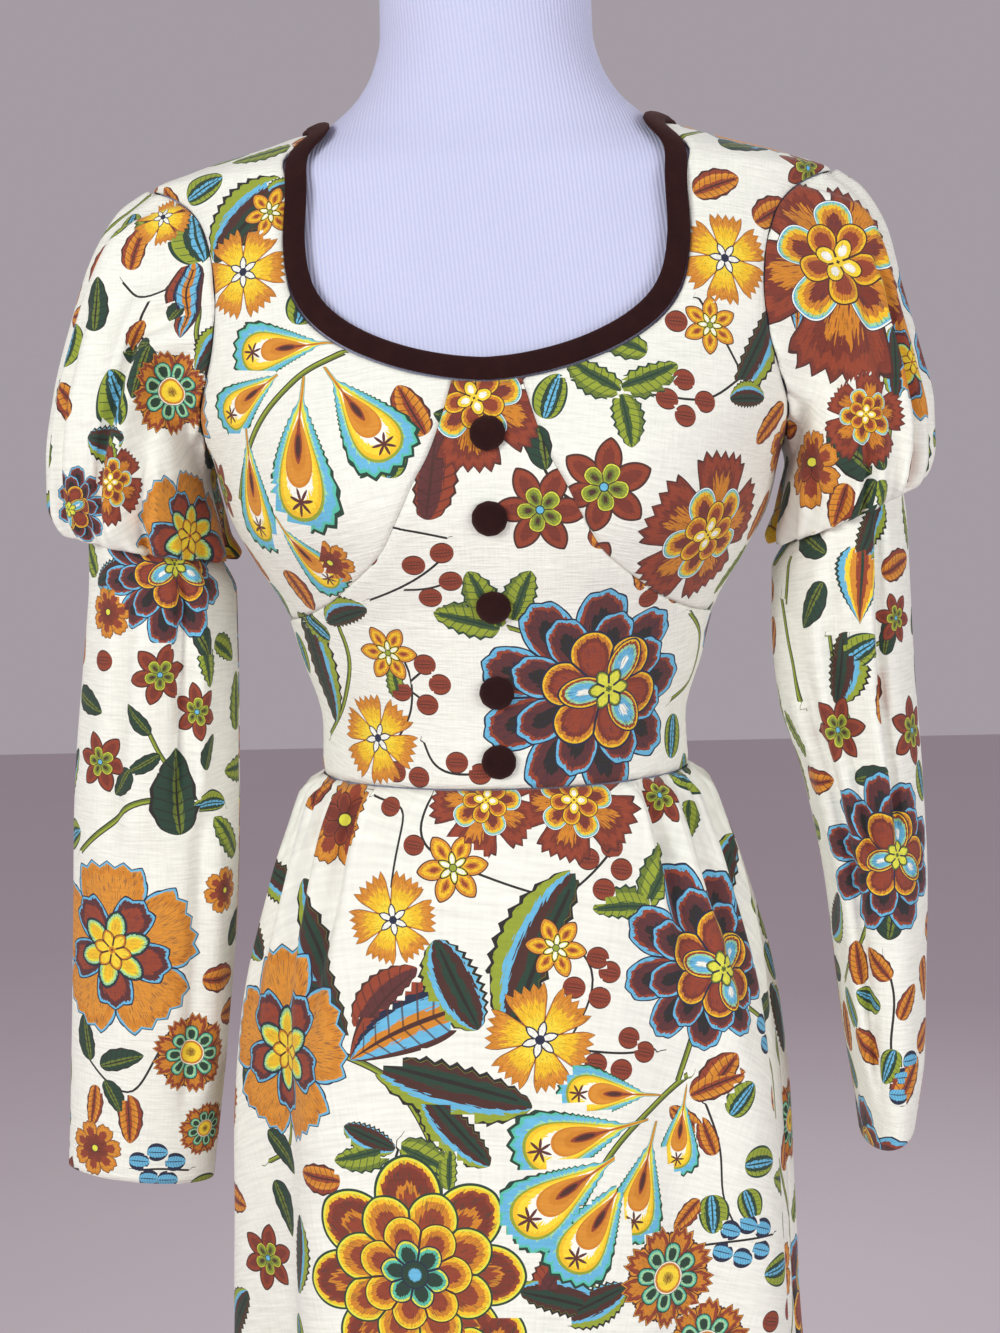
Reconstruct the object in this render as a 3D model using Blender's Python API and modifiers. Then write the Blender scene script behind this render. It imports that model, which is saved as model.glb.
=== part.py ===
"""A long-sleeved prairie dress on a limbless dress form and its stand, at real size.

Metres, +Z up. The front faces -Y and +X is on the right of someone who looks at the front.
The origin is on the surface that the stand rests on, under the middle of the part.

The cloth is modelled as walls. A level section of the body is a squared ellipse with a front and a
back depth of its own, and a point of the body is given by an angle round it, 0 at the front and +90
at the +X side, and by its height. Every panel is a sheet of such points between its seams.
"""

from collections import namedtuple

import bmesh
import bpy
import numpy as np
from mathutils import Vector

# ---------------------------------------------------------------- driving sizes
WALL = 0.0016            # thickness of the dress's cloth
SEAM = 0.0008            # clearance between two edges that are sewn together
SEAT = 0.0003            # clearance under a piece that rests on another
BUTTON_SEAT = 0.0006     # clearance behind a button, over a panel that curves
FORM_EASE = 0.0046       # from the cloth's outer face down to the form's skin

WAIST = 1.056            # heights of the seams
V_CORNER = 1.1590        # where the cup seam turns towards the side
CUP_SIDE = 1.142         # where it meets the side seam
ARMPIT = 1.236
SHOULDER_TIP = 1.385
NECK_POINT = 1.4135      # top of the shoulder seam
HEM = 0.056
FORM_FOOT = 0.755
FORM_TOP = 1.515

ARMHOLE_FRONT = 24.0     # how far the armhole swings forward of the side, in degrees
ARMHOLE_BACK = 22.0

BUST_HEIGHT = 1.215
BUST_APART = 0.078       # from the centre front to the fullest point of a cup
BUST_DEPTH = 0.028
BUST_REACH = 0.048       # how far a cup's fullness spreads sideways, upwards and downwards
BUST_ABOVE = 0.046
BUST_BELOW = 0.034

BINDING_WIDTH = 0.0123
BINDING_THICKNESS = 0.0038
BINDING_LIFT = 0.0004    # how far its middle stands above the cloth's outer face
BUTTON_RADIUS = 0.0093
BUTTON_RISE = 0.0058
BUTTON_HEIGHTS = (1.246, 1.203, 1.156, 1.109, 1.071)

POLE_RADIUS = 0.0125
BASE_RADIUS = 0.160
BASE_THICKNESS = 0.012
HUB_RADIUS = 0.026
HUB_HEIGHT = 0.040

Section = namedtuple("Section", "height breadth front back square")

# The body that the bodice is cut to, from the form's foot to its neck.
BODY = (
    Section(0.755, 0.1360, 0.0880, 0.1020, 2.20),
    Section(0.860, 0.1460, 0.0960, 0.1150, 2.20),
    Section(0.930, 0.1400, 0.0940, 0.1130, 2.20),
    Section(0.990, 0.1240, 0.0880, 0.0970, 2.10),
    Section(1.050, 0.1060, 0.0840, 0.0820, 2.00),
    Section(1.083, 0.1040, 0.0835, 0.0800, 2.00),
    Section(1.120, 0.1140, 0.0880, 0.0860, 2.05),
    Section(1.148, 0.1220, 0.0930, 0.0940, 2.10),
    Section(1.176, 0.1380, 0.0980, 0.1010, 2.20),
    Section(1.201, 0.1510, 0.1000, 0.1060, 2.30),
    Section(1.235, 0.1600, 0.1010, 0.1100, 2.40),
    Section(1.265, 0.1750, 0.0990, 0.1110, 2.50),
    Section(1.290, 0.1800, 0.0960, 0.1110, 2.50),
    Section(1.325, 0.1860, 0.0890, 0.1090, 2.45),
    Section(1.350, 0.1900, 0.0820, 0.1050, 2.30),
    Section(1.385, 0.1900, 0.0700, 0.0940, 2.00),
    Section(1.395, 0.1650, 0.0670, 0.0900, 2.00),
    Section(1.402, 0.1400, 0.0640, 0.0870, 2.00),
    Section(1.4135, 0.1040, 0.0595, 0.0815, 2.00),
    Section(1.428, 0.0825, 0.0560, 0.0735, 2.00),
    Section(1.4365, 0.0745, 0.0550, 0.0690, 2.00),
    Section(1.449, 0.0675, 0.0540, 0.0660, 2.00),
    Section(1.4655, 0.0635, 0.0535, 0.0645, 2.00),
    Section(1.515, 0.0628, 0.0530, 0.0635, 2.00),
)

# The skirt without its folds, from the hem to the waist seam.
SKIRT = (
    Section(0.056, 0.2360, 0.1880, 0.1880, 2.00),
    Section(0.200, 0.2190, 0.1740, 0.1750, 2.00),
    Section(0.400, 0.1960, 0.1550, 0.1580, 2.05),
    Section(0.600, 0.1740, 0.1340, 0.1430, 2.10),
    Section(0.723, 0.1635, 0.1220, 0.1350, 2.15),
    Section(0.822, 0.1600, 0.1150, 0.1310, 2.20),
    Section(0.865, 0.1575, 0.1120, 0.1290, 2.20),
    Section(0.934, 0.1485, 0.1060, 0.1220, 2.20),
    Section(0.993, 0.1330, 0.0985, 0.1065, 2.10),
    Section(1.031, 0.1190, 0.0920, 0.0965, 2.05),
    Section(1.046, 0.1130, 0.0878, 0.0915, 2.00),
    Section(1.056, 0.1054, 0.0839, 0.0814, 2.00),
)

# The neckline's outer edge from the centre front over the shoulder to the centre back: half width
# and height. The binding's inner edge is worked out from it.
NECK_FRONT = (
    (0.0000, 1.2729), (0.0180, 1.2744), (0.0370, 1.2780), (0.0570, 1.2843), (0.0760, 1.2930),
    (0.0925, 1.3050), (0.1025, 1.3190), (0.1065, 1.3350), (0.1078, 1.3620), (0.1072, 1.3850),
    (0.1055, 1.4010),
)
NECK_BACK = (
    (0.1015, 1.4055), (0.0945, 1.3955), (0.0800, 1.3850), (0.0550, 1.3770), (0.0280, 1.3735),
    (0.0000, 1.3725),
)

# The cup seam: half width and height, from the neckline down to the corner, then out to the side.
CUP_SEAM = (
    (0.0180, 1.2744), (0.0238, 1.2550), (0.0303, 1.2370), (0.0390, 1.2210), (0.0468, 1.2045),
    (0.0575, 1.1850), (0.0680, 1.1745), (0.0860, V_CORNER),
)
CUP_SEAM_OUT = ((0.0860, V_CORNER), (0.0965, 1.1530), (0.1085, 1.1475))

# A sleeve's level and slanting rings: the outer and inner point of each, and its front and back.
Ring = namedtuple("Ring", "out_x out_z in_x in_z front back")

PUFF = {
    "left": (
        Ring(0.2060, 1.3735, 0.1635, 1.2220, 0.0540, 0.0560),
        Ring(0.2225, 1.3490, 0.1610, 1.2090, 0.0580, 0.0600),
        Ring(0.2370, 1.3130, 0.1585, 1.1990, 0.0610, 0.0620),
        Ring(0.2490, 1.2720, 0.1570, 1.1920, 0.0620, 0.0620),
        Ring(0.2535, 1.2340, 0.1555, 1.1870, 0.0610, 0.0610),
        Ring(0.2525, 1.2110, 0.1550, 1.1825, 0.0590, 0.0590),
        Ring(0.2440, 1.1955, 0.1565, 1.1775, 0.0550, 0.0550),
        Ring(0.2340, 1.2000, 0.1615, 1.1800, 0.0510, 0.0510),
    ),
    "right": (
        Ring(0.2035, 1.3740, 0.1635, 1.2240, 0.0540, 0.0560),
        Ring(0.2175, 1.3510, 0.1610, 1.2120, 0.0580, 0.0600),
        Ring(0.2265, 1.3180, 0.1590, 1.2040, 0.0610, 0.0620),
        Ring(0.2355, 1.2850, 0.1575, 1.1970, 0.0620, 0.0620),
        Ring(0.2415, 1.2530, 0.1560, 1.1910, 0.0610, 0.0610),
        Ring(0.2405, 1.2300, 0.1555, 1.1855, 0.0590, 0.0590),
        Ring(0.2340, 1.2120, 0.1565, 1.1795, 0.0550, 0.0550),
        Ring(0.2265, 1.2150, 0.1620, 1.1815, 0.0510, 0.0510),
    ),
}
LOWER_SLEEVE = {
    "left": (
        Ring(0.2337, 1.1994, 0.1618, 1.1794, 0.0507, 0.0507),
        Ring(0.2355, 1.1700, 0.1525, 1.1600, 0.0490, 0.0490),
        Ring(0.2415, 1.1200, 0.1530, 1.1150, 0.0470, 0.0470),
        Ring(0.2480, 1.0700, 0.1545, 1.0680, 0.0440, 0.0440),
        Ring(0.2515, 1.0330, 0.1557, 1.0330, 0.0420, 0.0420),
        Ring(0.2545, 0.9850, 0.1585, 0.9850, 0.0390, 0.0390),
        Ring(0.2580, 0.9300, 0.1640, 0.9300, 0.0350, 0.0350),
        Ring(0.2615, 0.8800, 0.1705, 0.8780, 0.0290, 0.0290),
        Ring(0.2640, 0.8450, 0.1755, 0.8430, 0.0260, 0.0260),
        Ring(0.2660, 0.8230, 0.1800, 0.8130, 0.0240, 0.0240),
    ),
    "right": (
        Ring(0.2262, 1.2144, 0.1623, 1.1809, 0.0507, 0.0507),
        Ring(0.2295, 1.1900, 0.1545, 1.1650, 0.0500, 0.0500),
        Ring(0.2315, 1.1500, 0.1538, 1.1300, 0.0490, 0.0490),
        Ring(0.2340, 1.1000, 0.1575, 1.0900, 0.0480, 0.0480),
        Ring(0.2375, 1.0500, 0.1695, 1.0500, 0.0480, 0.0480),
        Ring(0.2400, 0.9850, 0.1825, 0.9850, 0.0500, 0.0500),
        Ring(0.2388, 0.9300, 0.1885, 0.9300, 0.0500, 0.0500),
        Ring(0.2378, 0.8870, 0.1940, 0.8870, 0.0500, 0.0500),
        Ring(0.2345, 0.8620, 0.1980, 0.8620, 0.0490, 0.0490),
        Ring(0.2315, 0.8460, 0.2015, 0.8350, 0.0470, 0.0470),
    ),
}
PUFF_GATHERS = 9         # gathers round a puff, deepest at the shoulder and above the cuff seam
GATHER_DEPTH = 0.0030

# Long soft creases of a lower sleeve: angle round the ring at their upper and lower end, depth,
# half width in degrees, and the heights they run between.
Crease = namedtuple("Crease", "angle_top angle_low depth width top low")
SLEEVE_CREASES = {
    "left": (
        Crease(75, 60, -0.0035, 16, 1.16, 1.04),
        Crease(120, 130, 0.0025, 18, 1.17, 0.90),
        Crease(250, 235, -0.0030, 18, 1.15, 0.93),
    ),
    "right": (
        Crease(60, 50, -0.0045, 15, 1.18, 0.93),
        Crease(120, 130, 0.0040, 16, 1.12, 0.86),
        Crease(235, 250, -0.0035, 18, 1.14, 0.92),
    ),
}

# The skirt's gathers at the waist: angle from the centre front, how far they stand out, and the
# height where they have died away. They lie at both sides and round to the back.
Gather = namedtuple("Gather", "angle depth fades")
GATHERS = (
    Gather(49.0, 0.0030, 0.930), Gather(54.0, -0.0055, 0.890), Gather(59.0, 0.0060, 0.860),
    Gather(64.0, -0.0045, 0.900), Gather(70.0, 0.0060, 0.840), Gather(76.5, -0.0040, 0.860),
    Gather(83.0, 0.0055, 0.820), Gather(90.0, -0.0040, 0.880), Gather(97.0, 0.0055, 0.840),
    Gather(104.0, -0.0040, 0.900), Gather(111.0, 0.0050, 0.830), Gather(118.0, -0.0040, 0.880),
    Gather(125.0, 0.0050, 0.850), Gather(132.0, -0.0035, 0.900), Gather(139.0, 0.0045, 0.880),
    Gather(147.0, -0.0030, 0.910), Gather(155.0, 0.0035, 0.900),
)
GATHER_WIDTH = 2.5       # half width of a gather in degrees

# The long folds that run on down to the hem: angle at the waist and at the hem, height of the fold
# at the hip and at the hem, and half width in degrees.
Fold = namedtuple("Fold", "angle_top angle_hem hip hem width")
FOLDS = (
    Fold(-52, -40, 0.0050, 0.0120, 9.0), Fold(-64, -58, -0.0070, -0.0120, 8.0),
    Fold(-78, -76, 0.0040, 0.0110, 9.0), Fold(59, 66, 0.0060, 0.0120, 9.0),
    Fold(49, 50, -0.0050, -0.0120, 8.0), Fold(80, 84, -0.0040, 0.0180, 7.0),
    Fold(74, 75, 0.0000, -0.0070, 4.5), Fold(94, 95, 0.0000, -0.0070, 4.5),
    Fold(-12, -14, 0.0000, 0.0070, 13.0), Fold(16, 19, 0.0000, -0.0070, 12.0),
    Fold(-100, -104, -0.0040, -0.0110, 9.0), Fold(-120, -123, 0.0045, 0.0120, 9.0),
    Fold(-142, -144, -0.0030, -0.0100, 9.0), Fold(-163, -165, 0.0020, 0.0090, 11.0),
    Fold(103, 106, 0.0040, 0.0120, 9.0), Fold(122, 126, -0.0040, -0.0110, 9.0),
    Fold(143, 147, 0.0030, 0.0110, 9.0), Fold(166, 170, -0.0020, -0.0090, 11.0),
)


# ---------------------------------------------------------------- curves and surfaces
def curve_through(knots, values, at):
    """A smooth curve through the points given, which never swings past them."""
    knots = np.asarray(knots, float)
    values = np.asarray(values, float)
    at = np.clip(at, knots[0], knots[-1])
    steps = np.diff(knots)
    rises = np.diff(values, axis=0) / steps[:, None]
    slopes = np.zeros_like(values)
    slopes[0], slopes[-1] = rises[0], rises[-1]
    before, after = rises[:-1], rises[1:]
    same_way = before * after > 0
    total = np.where(same_way, before + after, 1.0)
    slopes[1:-1] = np.where(same_way, 2 * before * after / total, 0.0)
    span = np.clip(np.searchsorted(knots, at, side="right") - 1, 0, len(steps) - 1)
    t = ((at - knots[span]) / steps[span])[..., None]
    step = steps[span][..., None]
    start, end = values[span], values[span + 1]
    return (
        start * (1 + 2 * t) * (1 - t) ** 2
        + end * t * t * (3 - 2 * t)
        + step * slopes[span] * t * (1 - t) ** 2
        - step * slopes[span + 1] * t * t * (1 - t)
    )


def bell(distance, width):
    """1 at no distance, dying away smoothly over about twice the width."""
    return np.exp(-0.5 * (distance / width) ** 2)


def ramp(value, low, high):
    """0 below low, 1 above high, and a smooth step between."""
    t = np.clip((value - low) / (high - low), 0, 1)
    return t * t * (3 - 2 * t)


def section_points(table, angle, height):
    """Points of a table's surface at these angles (degrees from the front) and heights."""
    angle, height = np.broadcast_arrays(np.asarray(angle, float), np.asarray(height, float))
    rows = np.array(table)
    sizes = curve_through(rows[:, 0], rows[:, 1:], height)
    breadth, front, back, square = np.moveaxis(sizes, -1, 0)
    across, along = np.sin(np.radians(angle)), np.cos(np.radians(angle))
    depth = np.where(along > 0, front, back)
    reach = (np.abs(across / breadth) ** square + np.abs(along / depth) ** square) ** (-1 / square)
    return np.stack([reach * across, -reach * along, height], axis=-1)


def body_points(angle, height):
    """The bodice's outer face: the body's sections with the two cups standing out in front."""
    points = section_points(BODY, angle, height)
    across, height = points[..., 0], points[..., 2]
    rise = height - BUST_HEIGHT
    level = bell(rise, np.where(rise > 0, BUST_ABOVE, BUST_BELOW))
    cups = bell(across - BUST_APART, BUST_REACH) + bell(across + BUST_APART, BUST_REACH)
    facing = ramp(np.cos(np.radians(angle)), 0.0, 0.55)
    points[..., 1] -= BUST_DEPTH * cups * level * facing
    return points


def skirt_points(angle, height):
    """The skirt's outer face with its gathers and folds."""
    points = section_points(SKIRT, angle, height)
    angle, height = np.broadcast_arrays(np.asarray(angle, float), np.asarray(height, float))
    stands = np.zeros(angle.shape)
    below_waist = ramp(WAIST - height, 0.0, 0.010)
    for gather in GATHERS:
        fade = ramp(height, gather.fades, WAIST - 0.02)
        away = np.abs(angle) - gather.angle
        stands += gather.depth * bell(away, GATHER_WIDTH) * fade * below_waist
    drop = (WAIST - height) / (WAIST - HEM)
    for fold in FOLDS:
        middle = fold.angle_top + (fold.angle_hem - fold.angle_top) * drop
        size = fold.hip + (fold.hem - fold.hip) * ramp(drop, 0.25, 1.0)
        away = (angle - middle + 180) % 360 - 180
        stands += size * bell(away, fold.width) * ramp(drop, 0.03, 0.20)
    points[..., 0] += stands * np.sin(np.radians(angle))
    points[..., 1] -= stands * np.cos(np.radians(angle))
    return points


def outward(surface, angle, height):
    """Unit normals of a surface of angle and height, pointing out of the body."""
    turn, climb = 0.05, 0.0002
    round_it = surface(angle + turn, height) - surface(angle - turn, height)
    up_it = surface(angle, height + climb) - surface(angle, height - climb)
    normals = np.cross(round_it, up_it)
    return normals / np.linalg.norm(normals, axis=-1, keepdims=True)


def angle_at(across, height, behind=False):
    """The angle at which the body's section at this height has this half width."""
    angles = np.linspace(0, 90, 361)
    found = []
    for x, z in zip(np.atleast_1d(across), np.atleast_1d(height)):
        widths = section_points(BODY, 180 - angles if behind else angles, z)[:, 0]
        angle = np.interp(x, widths, angles)
        found.append(180 - angle if behind else angle)
    return np.array(found)


def evenly(track, count):
    """The track of (angle, height) points as count + 1 points, evenly spaced along the body."""
    track = np.asarray(track, float)
    steps = np.linalg.norm(np.diff(body_points(track[:, 0], track[:, 1]), axis=0), axis=1)
    knots = np.concatenate([[0], np.cumsum(steps)])
    dense = curve_through(knots, track, np.linspace(0, knots[-1], 40 * count + 1))
    steps = np.linalg.norm(np.diff(body_points(dense[:, 0], dense[:, 1]), axis=0), axis=1)
    travelled = np.concatenate([[0], np.cumsum(steps)])
    places = np.linspace(0, travelled[-1], count + 1)
    return np.stack([np.interp(places, travelled, dense[:, k]) for k in (0, 1)], axis=1)


def track_of(rows, behind=False):
    """A table of (half width, height) as a track of (angle, height)."""
    rows = np.array(rows)
    return np.stack([angle_at(rows[:, 0], rows[:, 1], behind), rows[:, 1]], axis=1)


def between(first, last, count):
    """A straight track of (angle, height) points."""
    return np.linspace(first, last, count + 1)


# ---------------------------------------------------------------- the seams
CENTRE_COLUMNS = 14
CUP_SEAM_ROWS = 8
CUP_OUT_STEPS = 7
SIDE_ROWS = 4            # of the side seam, between the cup seam and the armpit
MIDRIFF_ROWS = 5
ARMHOLE_STEPS = 18
NECK_STEPS = SIDE_ROWS + ARMHOLE_STEPS - CUP_SEAM_ROWS
BACK_NECK_STEPS = 6
BACK_SHOULDER_STEPS = 3

SEAM_DOWN = evenly(track_of(CUP_SEAM[::-1]), CUP_SEAM_ROWS)
SEAM_OUT = evenly(
    np.vstack([track_of(CUP_SEAM_OUT), [[90.0, CUP_SIDE]]]), CUP_OUT_STEPS)
NECK_CORNER = tuple(SEAM_DOWN[-1])

front_neck = track_of([row for row in NECK_FRONT if row[0] >= CUP_SEAM[0][0]])
front_neck[0] = NECK_CORNER
NECK_SIDE = evenly(
    np.vstack([front_neck, [[69.0, 1.4090], [90.0, NECK_POINT]]]), NECK_STEPS)
NECK_REAR = evenly(
    np.vstack([[[90.0, NECK_POINT], [110.0, 1.4095]], track_of(NECK_BACK, behind=True)]),
    BACK_NECK_STEPS)
NECK_MIDDLE = evenly(track_of(NECK_FRONT[:2]) * [[0, 1], [1, 1]], 2)


def armhole_track(swing):
    """The armhole from the armpit up to the shoulder tip, swung forward or back of the side."""
    turn = np.linspace(np.pi, 0, ARMHOLE_STEPS + 1)
    middle, half = (SHOULDER_TIP + ARMPIT) / 2, (SHOULDER_TIP - ARMPIT) / 2
    return np.stack([90 + swing * np.sin(turn), middle + half * np.cos(turn)], axis=1)


def side_track(low, high, steps):
    """A run of the side seam."""
    return between((90.0, low), (90.0, high), steps)


def patch(low, top, inner, outer):
    """A sheet of (angle, height) points that fills the space between its four edges."""
    columns, rows = len(low), len(inner)
    u = np.linspace(0, 1, columns)[None, :, None]
    v = np.linspace(0, 1, rows)[:, None, None]
    across = (1 - u) * inner[:, None] + u * outer[:, None]
    upward = (1 - v) * low[None] + v * top[None]
    corners = (
        (1 - u) * (1 - v) * low[0] + u * (1 - v) * low[-1]
        + (1 - u) * v * top[0] + u * v * top[-1]
    )
    return across + upward - corners


# ---------------------------------------------------------------- making objects
def clear_scene():
    for found in list(bpy.data.objects):
        bpy.data.objects.remove(found, do_unlink=True)


def finish(name, colour, roughness, metallic=0.0, sheen=0.0):
    """A plain material for one piece."""
    material = bpy.data.materials.new(name)
    material.use_nodes = True
    shader = material.node_tree.nodes["Principled BSDF"]
    shader.inputs["Base Color"].default_value = (*colour, 1.0)
    shader.inputs["Roughness"].default_value = roughness
    shader.inputs["Metallic"].default_value = metallic
    shader.inputs["Sheen Weight"].default_value = sheen
    material.diffuse_color = (*colour, 1.0)
    return material


def place(name, mesh, look):
    """An object of the dress with its own copy of a finish."""
    colour, roughness, metallic, sheen = look
    mesh.materials.append(finish(name, colour, roughness, metallic, sheen))
    placed = bpy.data.objects.new(name, mesh)
    collection.objects.link(placed)
    return placed


def split(corners, points):
    """The two triangles of a four-cornered face, parted along its shorter diagonal."""
    a, b, c, d = corners
    if np.linalg.norm(points[a] - points[c]) < np.linalg.norm(points[b] - points[d]):
        return (a, b, c), (a, c, d)
    return (a, b, d), (b, c, d)


def lofted(name, grid, closed_round=False, capped=False):
    """A mesh through rows of points: rows run upwards and columns run round to the left."""
    rows, columns = grid.shape[:2]
    mesh = bpy.data.meshes.new(name)
    faces = []
    for row in range(rows - 1):
        for column in range(columns if closed_round else columns - 1):
            after = (column + 1) % columns
            low, high = row * columns, (row + 1) * columns
            corners = (low + column, low + after, high + after, high + column)
            faces.extend(split(corners, grid.reshape(-1, 3)))
    if capped:
        faces.append(tuple(reversed(range(columns))))
        faces.append(tuple(range((rows - 1) * columns, rows * columns)))
    mesh.from_pydata([tuple(point) for point in grid.reshape(-1, 3)], [], faces)
    mesh.update()
    mesh.shade_smooth()
    return mesh


def give_wall(placed, thickness=WALL):
    """Turns an open sheet into cloth of real thickness, inwards from its outer face."""
    wall = placed.modifiers.new("cloth wall", "SOLIDIFY")
    wall.thickness = thickness
    wall.offset = -1
    wall.use_even_offset = True


def draw_in(grid, by, sides=(0, 1, 2, 3)):
    """Moves a sheet's edges in along its own face, which leaves room for the seam."""
    views = (grid, grid[::-1], grid.transpose(1, 0, 2), grid[:, ::-1].transpose(1, 0, 2))
    for side in sides:
        view = views[side]
        tangent = np.gradient(view[0], axis=0)
        inward = view[1] - view[0]
        share = (inward * tangent).sum(1) / (tangent * tangent).sum(1)
        inward -= share[:, None] * tangent
        view[0] += by * inward / np.linalg.norm(inward, axis=1, keepdims=True)


def mirrored(grid):
    """The same sheet on the other side of the body, still facing out."""
    other = grid[:, ::-1].copy()
    other[..., 0] *= -1
    return other


# ---------------------------------------------------------------- the form and its stand
FORM_SIDES = 28
FORM_HEIGHTS = (
    0.755, 0.800, 0.860, 0.930, 0.990, 1.050, 1.083, 1.120, 1.148, 1.176, 1.201, 1.225, 1.250,
    1.280, 1.325, 1.355, 1.380, 1.3875, 1.395, 1.402, 1.4135, 1.420, 1.428, 1.4365, 1.449,
    1.4655, 1.511,
)


def make_form():
    """The jersey-covered form: one smooth closed body, flat at its foot, with a capped neck."""
    angles = np.arange(FORM_SIDES) * 360.0 / FORM_SIDES
    rings = []
    for height in FORM_HEIGHTS:
        level = np.full(FORM_SIDES, height)
        skin = body_points(angles, level)
        rings.append(skin - FORM_EASE * outward(body_points, angles, level))
    foot, neck = rings[0].copy(), rings[-1].copy()
    foot[:, 2] = FORM_FOOT
    foot[:, :2] *= 0.96
    rings[0][:, 2] += 0.006
    neck[:, 2] = FORM_TOP
    neck[:, :2] *= 0.93
    mesh = lofted("form_body", np.array([foot, *rings, neck]), closed_round=True, capped=True)
    place("form_body", mesh, JERSEY)


def turned(name, profile, look, sides):
    """A turned piece: its outer side runs down from the top, and a Screw turns it."""
    mesh = bpy.data.meshes.new(name)
    edges = [(k, k + 1) for k in range(len(profile) - 1)]
    mesh.from_pydata([(radius, 0, height) for radius, height in profile], edges, [])
    piece = place(name, mesh, look)
    turn = piece.modifiers.new("turned", "SCREW")
    turn.steps = turn.render_steps = sides
    turn.use_merge_vertices = True
    turn.merge_threshold = 0.00005
    turn.use_smooth_shade = True
    return piece


def make_stand():
    """A steel pole up to the form's foot, on a round weighted base with a hub."""
    rim = 0.004
    turned("stand_base", (
        (0.0, HUB_HEIGHT), (HUB_RADIUS - rim, HUB_HEIGHT), (HUB_RADIUS, HUB_HEIGHT - rim),
        (HUB_RADIUS + rim, BASE_THICKNESS + rim), (BASE_RADIUS - 2 * rim, BASE_THICKNESS),
        (BASE_RADIUS, BASE_THICKNESS - rim), (BASE_RADIUS, 0.0), (0.0, 0.0),
    ), PAINTED_STEEL, 28)
    top, low = FORM_FOOT - SEAT, HUB_HEIGHT + SEAT
    turned("stand_pole", (
        (0.0, top), (POLE_RADIUS, top), (POLE_RADIUS, low), (0.0, low),
    ), BRIGHT_STEEL, 16)


# ---------------------------------------------------------------- the bodice
def make_centre_front():
    """The V-shaped centre panel, which widens to the whole midriff and ends at the waist seam."""
    side = np.vstack([
        side_track(WAIST, CUP_SIDE, MIDRIFF_ROWS)[:-1], SEAM_OUT[::-1][:-1], SEAM_DOWN])
    grid = np.array([
        between((-angle, height), (angle, height), CENTRE_COLUMNS) for angle, height in side])
    dip = NECK_FRONT[1][1] - NECK_FRONT[0][1]
    spread = np.linspace(-1, 1, CENTRE_COLUMNS + 1)
    for row, share in ((-1, 1.0), (-2, 0.5)):
        grid[row, :, 1] -= share * dip * (1 - spread ** 2)
    points = body_points(grid[..., 0], grid[..., 1])
    draw_in(points, SEAM / 2)
    give_wall(place("bodice_centre_front", lofted("bodice_centre_front", points), LINEN))


def cup_grid():
    """The +X cup, from the cup seam out to the armhole and up to the shoulder seam."""
    low = SEAM_OUT
    inner = np.vstack([SEAM_DOWN[:-1], NECK_SIDE])
    outer = np.vstack([
        side_track(CUP_SIDE, ARMPIT, SIDE_ROWS)[:-1], armhole_track(-ARMHOLE_FRONT)])
    top = between((90.0, NECK_POINT), (90.0, SHOULDER_TIP), CUP_OUT_STEPS)
    return patch(low, top, inner, outer)


def back_grid():
    """The +X half of the back, from the side seam to the centre back seam."""
    steps = BACK_SHOULDER_STEPS + BACK_NECK_STEPS
    shoulder = between((90.0, SHOULDER_TIP), (90.0, NECK_POINT), BACK_SHOULDER_STEPS)
    inner = np.vstack([
        side_track(WAIST, ARMPIT, MIDRIFF_ROWS + 2)[:-1], armhole_track(ARMHOLE_BACK)])
    low = between((90.0, WAIST), (180.0, WAIST), steps)
    top = np.vstack([shoulder[:-1], NECK_REAR])
    rows = len(inner) - 1
    outer = between((180.0, WAIST), tuple(NECK_REAR[-1]), rows)
    return patch(low, top, inner, outer)


def make_bodice_sides():
    for name, grid in (("bodice_cup", cup_grid()), ("bodice_back", back_grid())):
        points = body_points(grid[..., 0], grid[..., 1])
        draw_in(points, SEAM / 2)
        for side, sheet in (("right", points), ("left", mirrored(points))):
            full_name = f"{name}_{side}"
            give_wall(place(full_name, lofted(full_name, sheet), LINEN))


# ---------------------------------------------------------------- the skirt
SKIRT_HEIGHTS = (
    HEM, 0.190, 0.340, 0.490, 0.620, 0.720, 0.800, 0.865, 0.920, 0.965, 1.003, 1.030, 1.046,
    1.0558,
)
PLAIN_COLUMNS = {"skirt_front": 7, "skirt_back": 3}      # across the smooth middle of a panel


def make_skirt():
    """The front and back of the gathered skirt, sewn at the sides."""
    crests = np.array([gather.angle for gather in GATHERS])
    folded = np.sort(np.concatenate([crests, (crests[1:] + crests[:-1]) / 2]))
    for name in ("skirt_front", "skirt_back"):
        away = folded[folded <= 90] if name == "skirt_front" else 180 - folded[folded >= 90][::-1]
        smooth = np.linspace(-away[0], away[0], PLAIN_COLUMNS[name] + 1)[1:-1]
        turned_by = np.concatenate([-away[::-1], smooth, away])
        angles = turned_by if name == "skirt_front" else 180 + turned_by
        signed = (angles + 180) % 360 - 180
        points = np.array([skirt_points(signed, np.full(len(signed), z)) for z in SKIRT_HEIGHTS])
        draw_in(points, SEAM / 2, sides=(2, 3))
        give_wall(place(name, lofted(name, points), LINEN))


# ---------------------------------------------------------------- the sleeves
SLEEVE_SIDES = 2 * ARMHOLE_STEPS
LOWER_SIDES = 24


def ring_points(ring, sides):
    """The points of one ring, from its outer point round the front to its inner point and back."""
    turn = np.arange(sides) * 2 * np.pi / sides
    across, along = np.cos(turn), np.sin(turn)
    middle = np.array([(ring.out_x + ring.in_x) / 2, 0.0, (ring.out_z + ring.in_z) / 2])
    reach = np.array([(ring.out_x - ring.in_x) / 2, 0.0, (ring.out_z - ring.in_z) / 2])
    depth = np.where(along > 0, ring.front, ring.back)
    points = middle + across[:, None] * reach
    points[:, 1] -= depth * along
    return points


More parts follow.
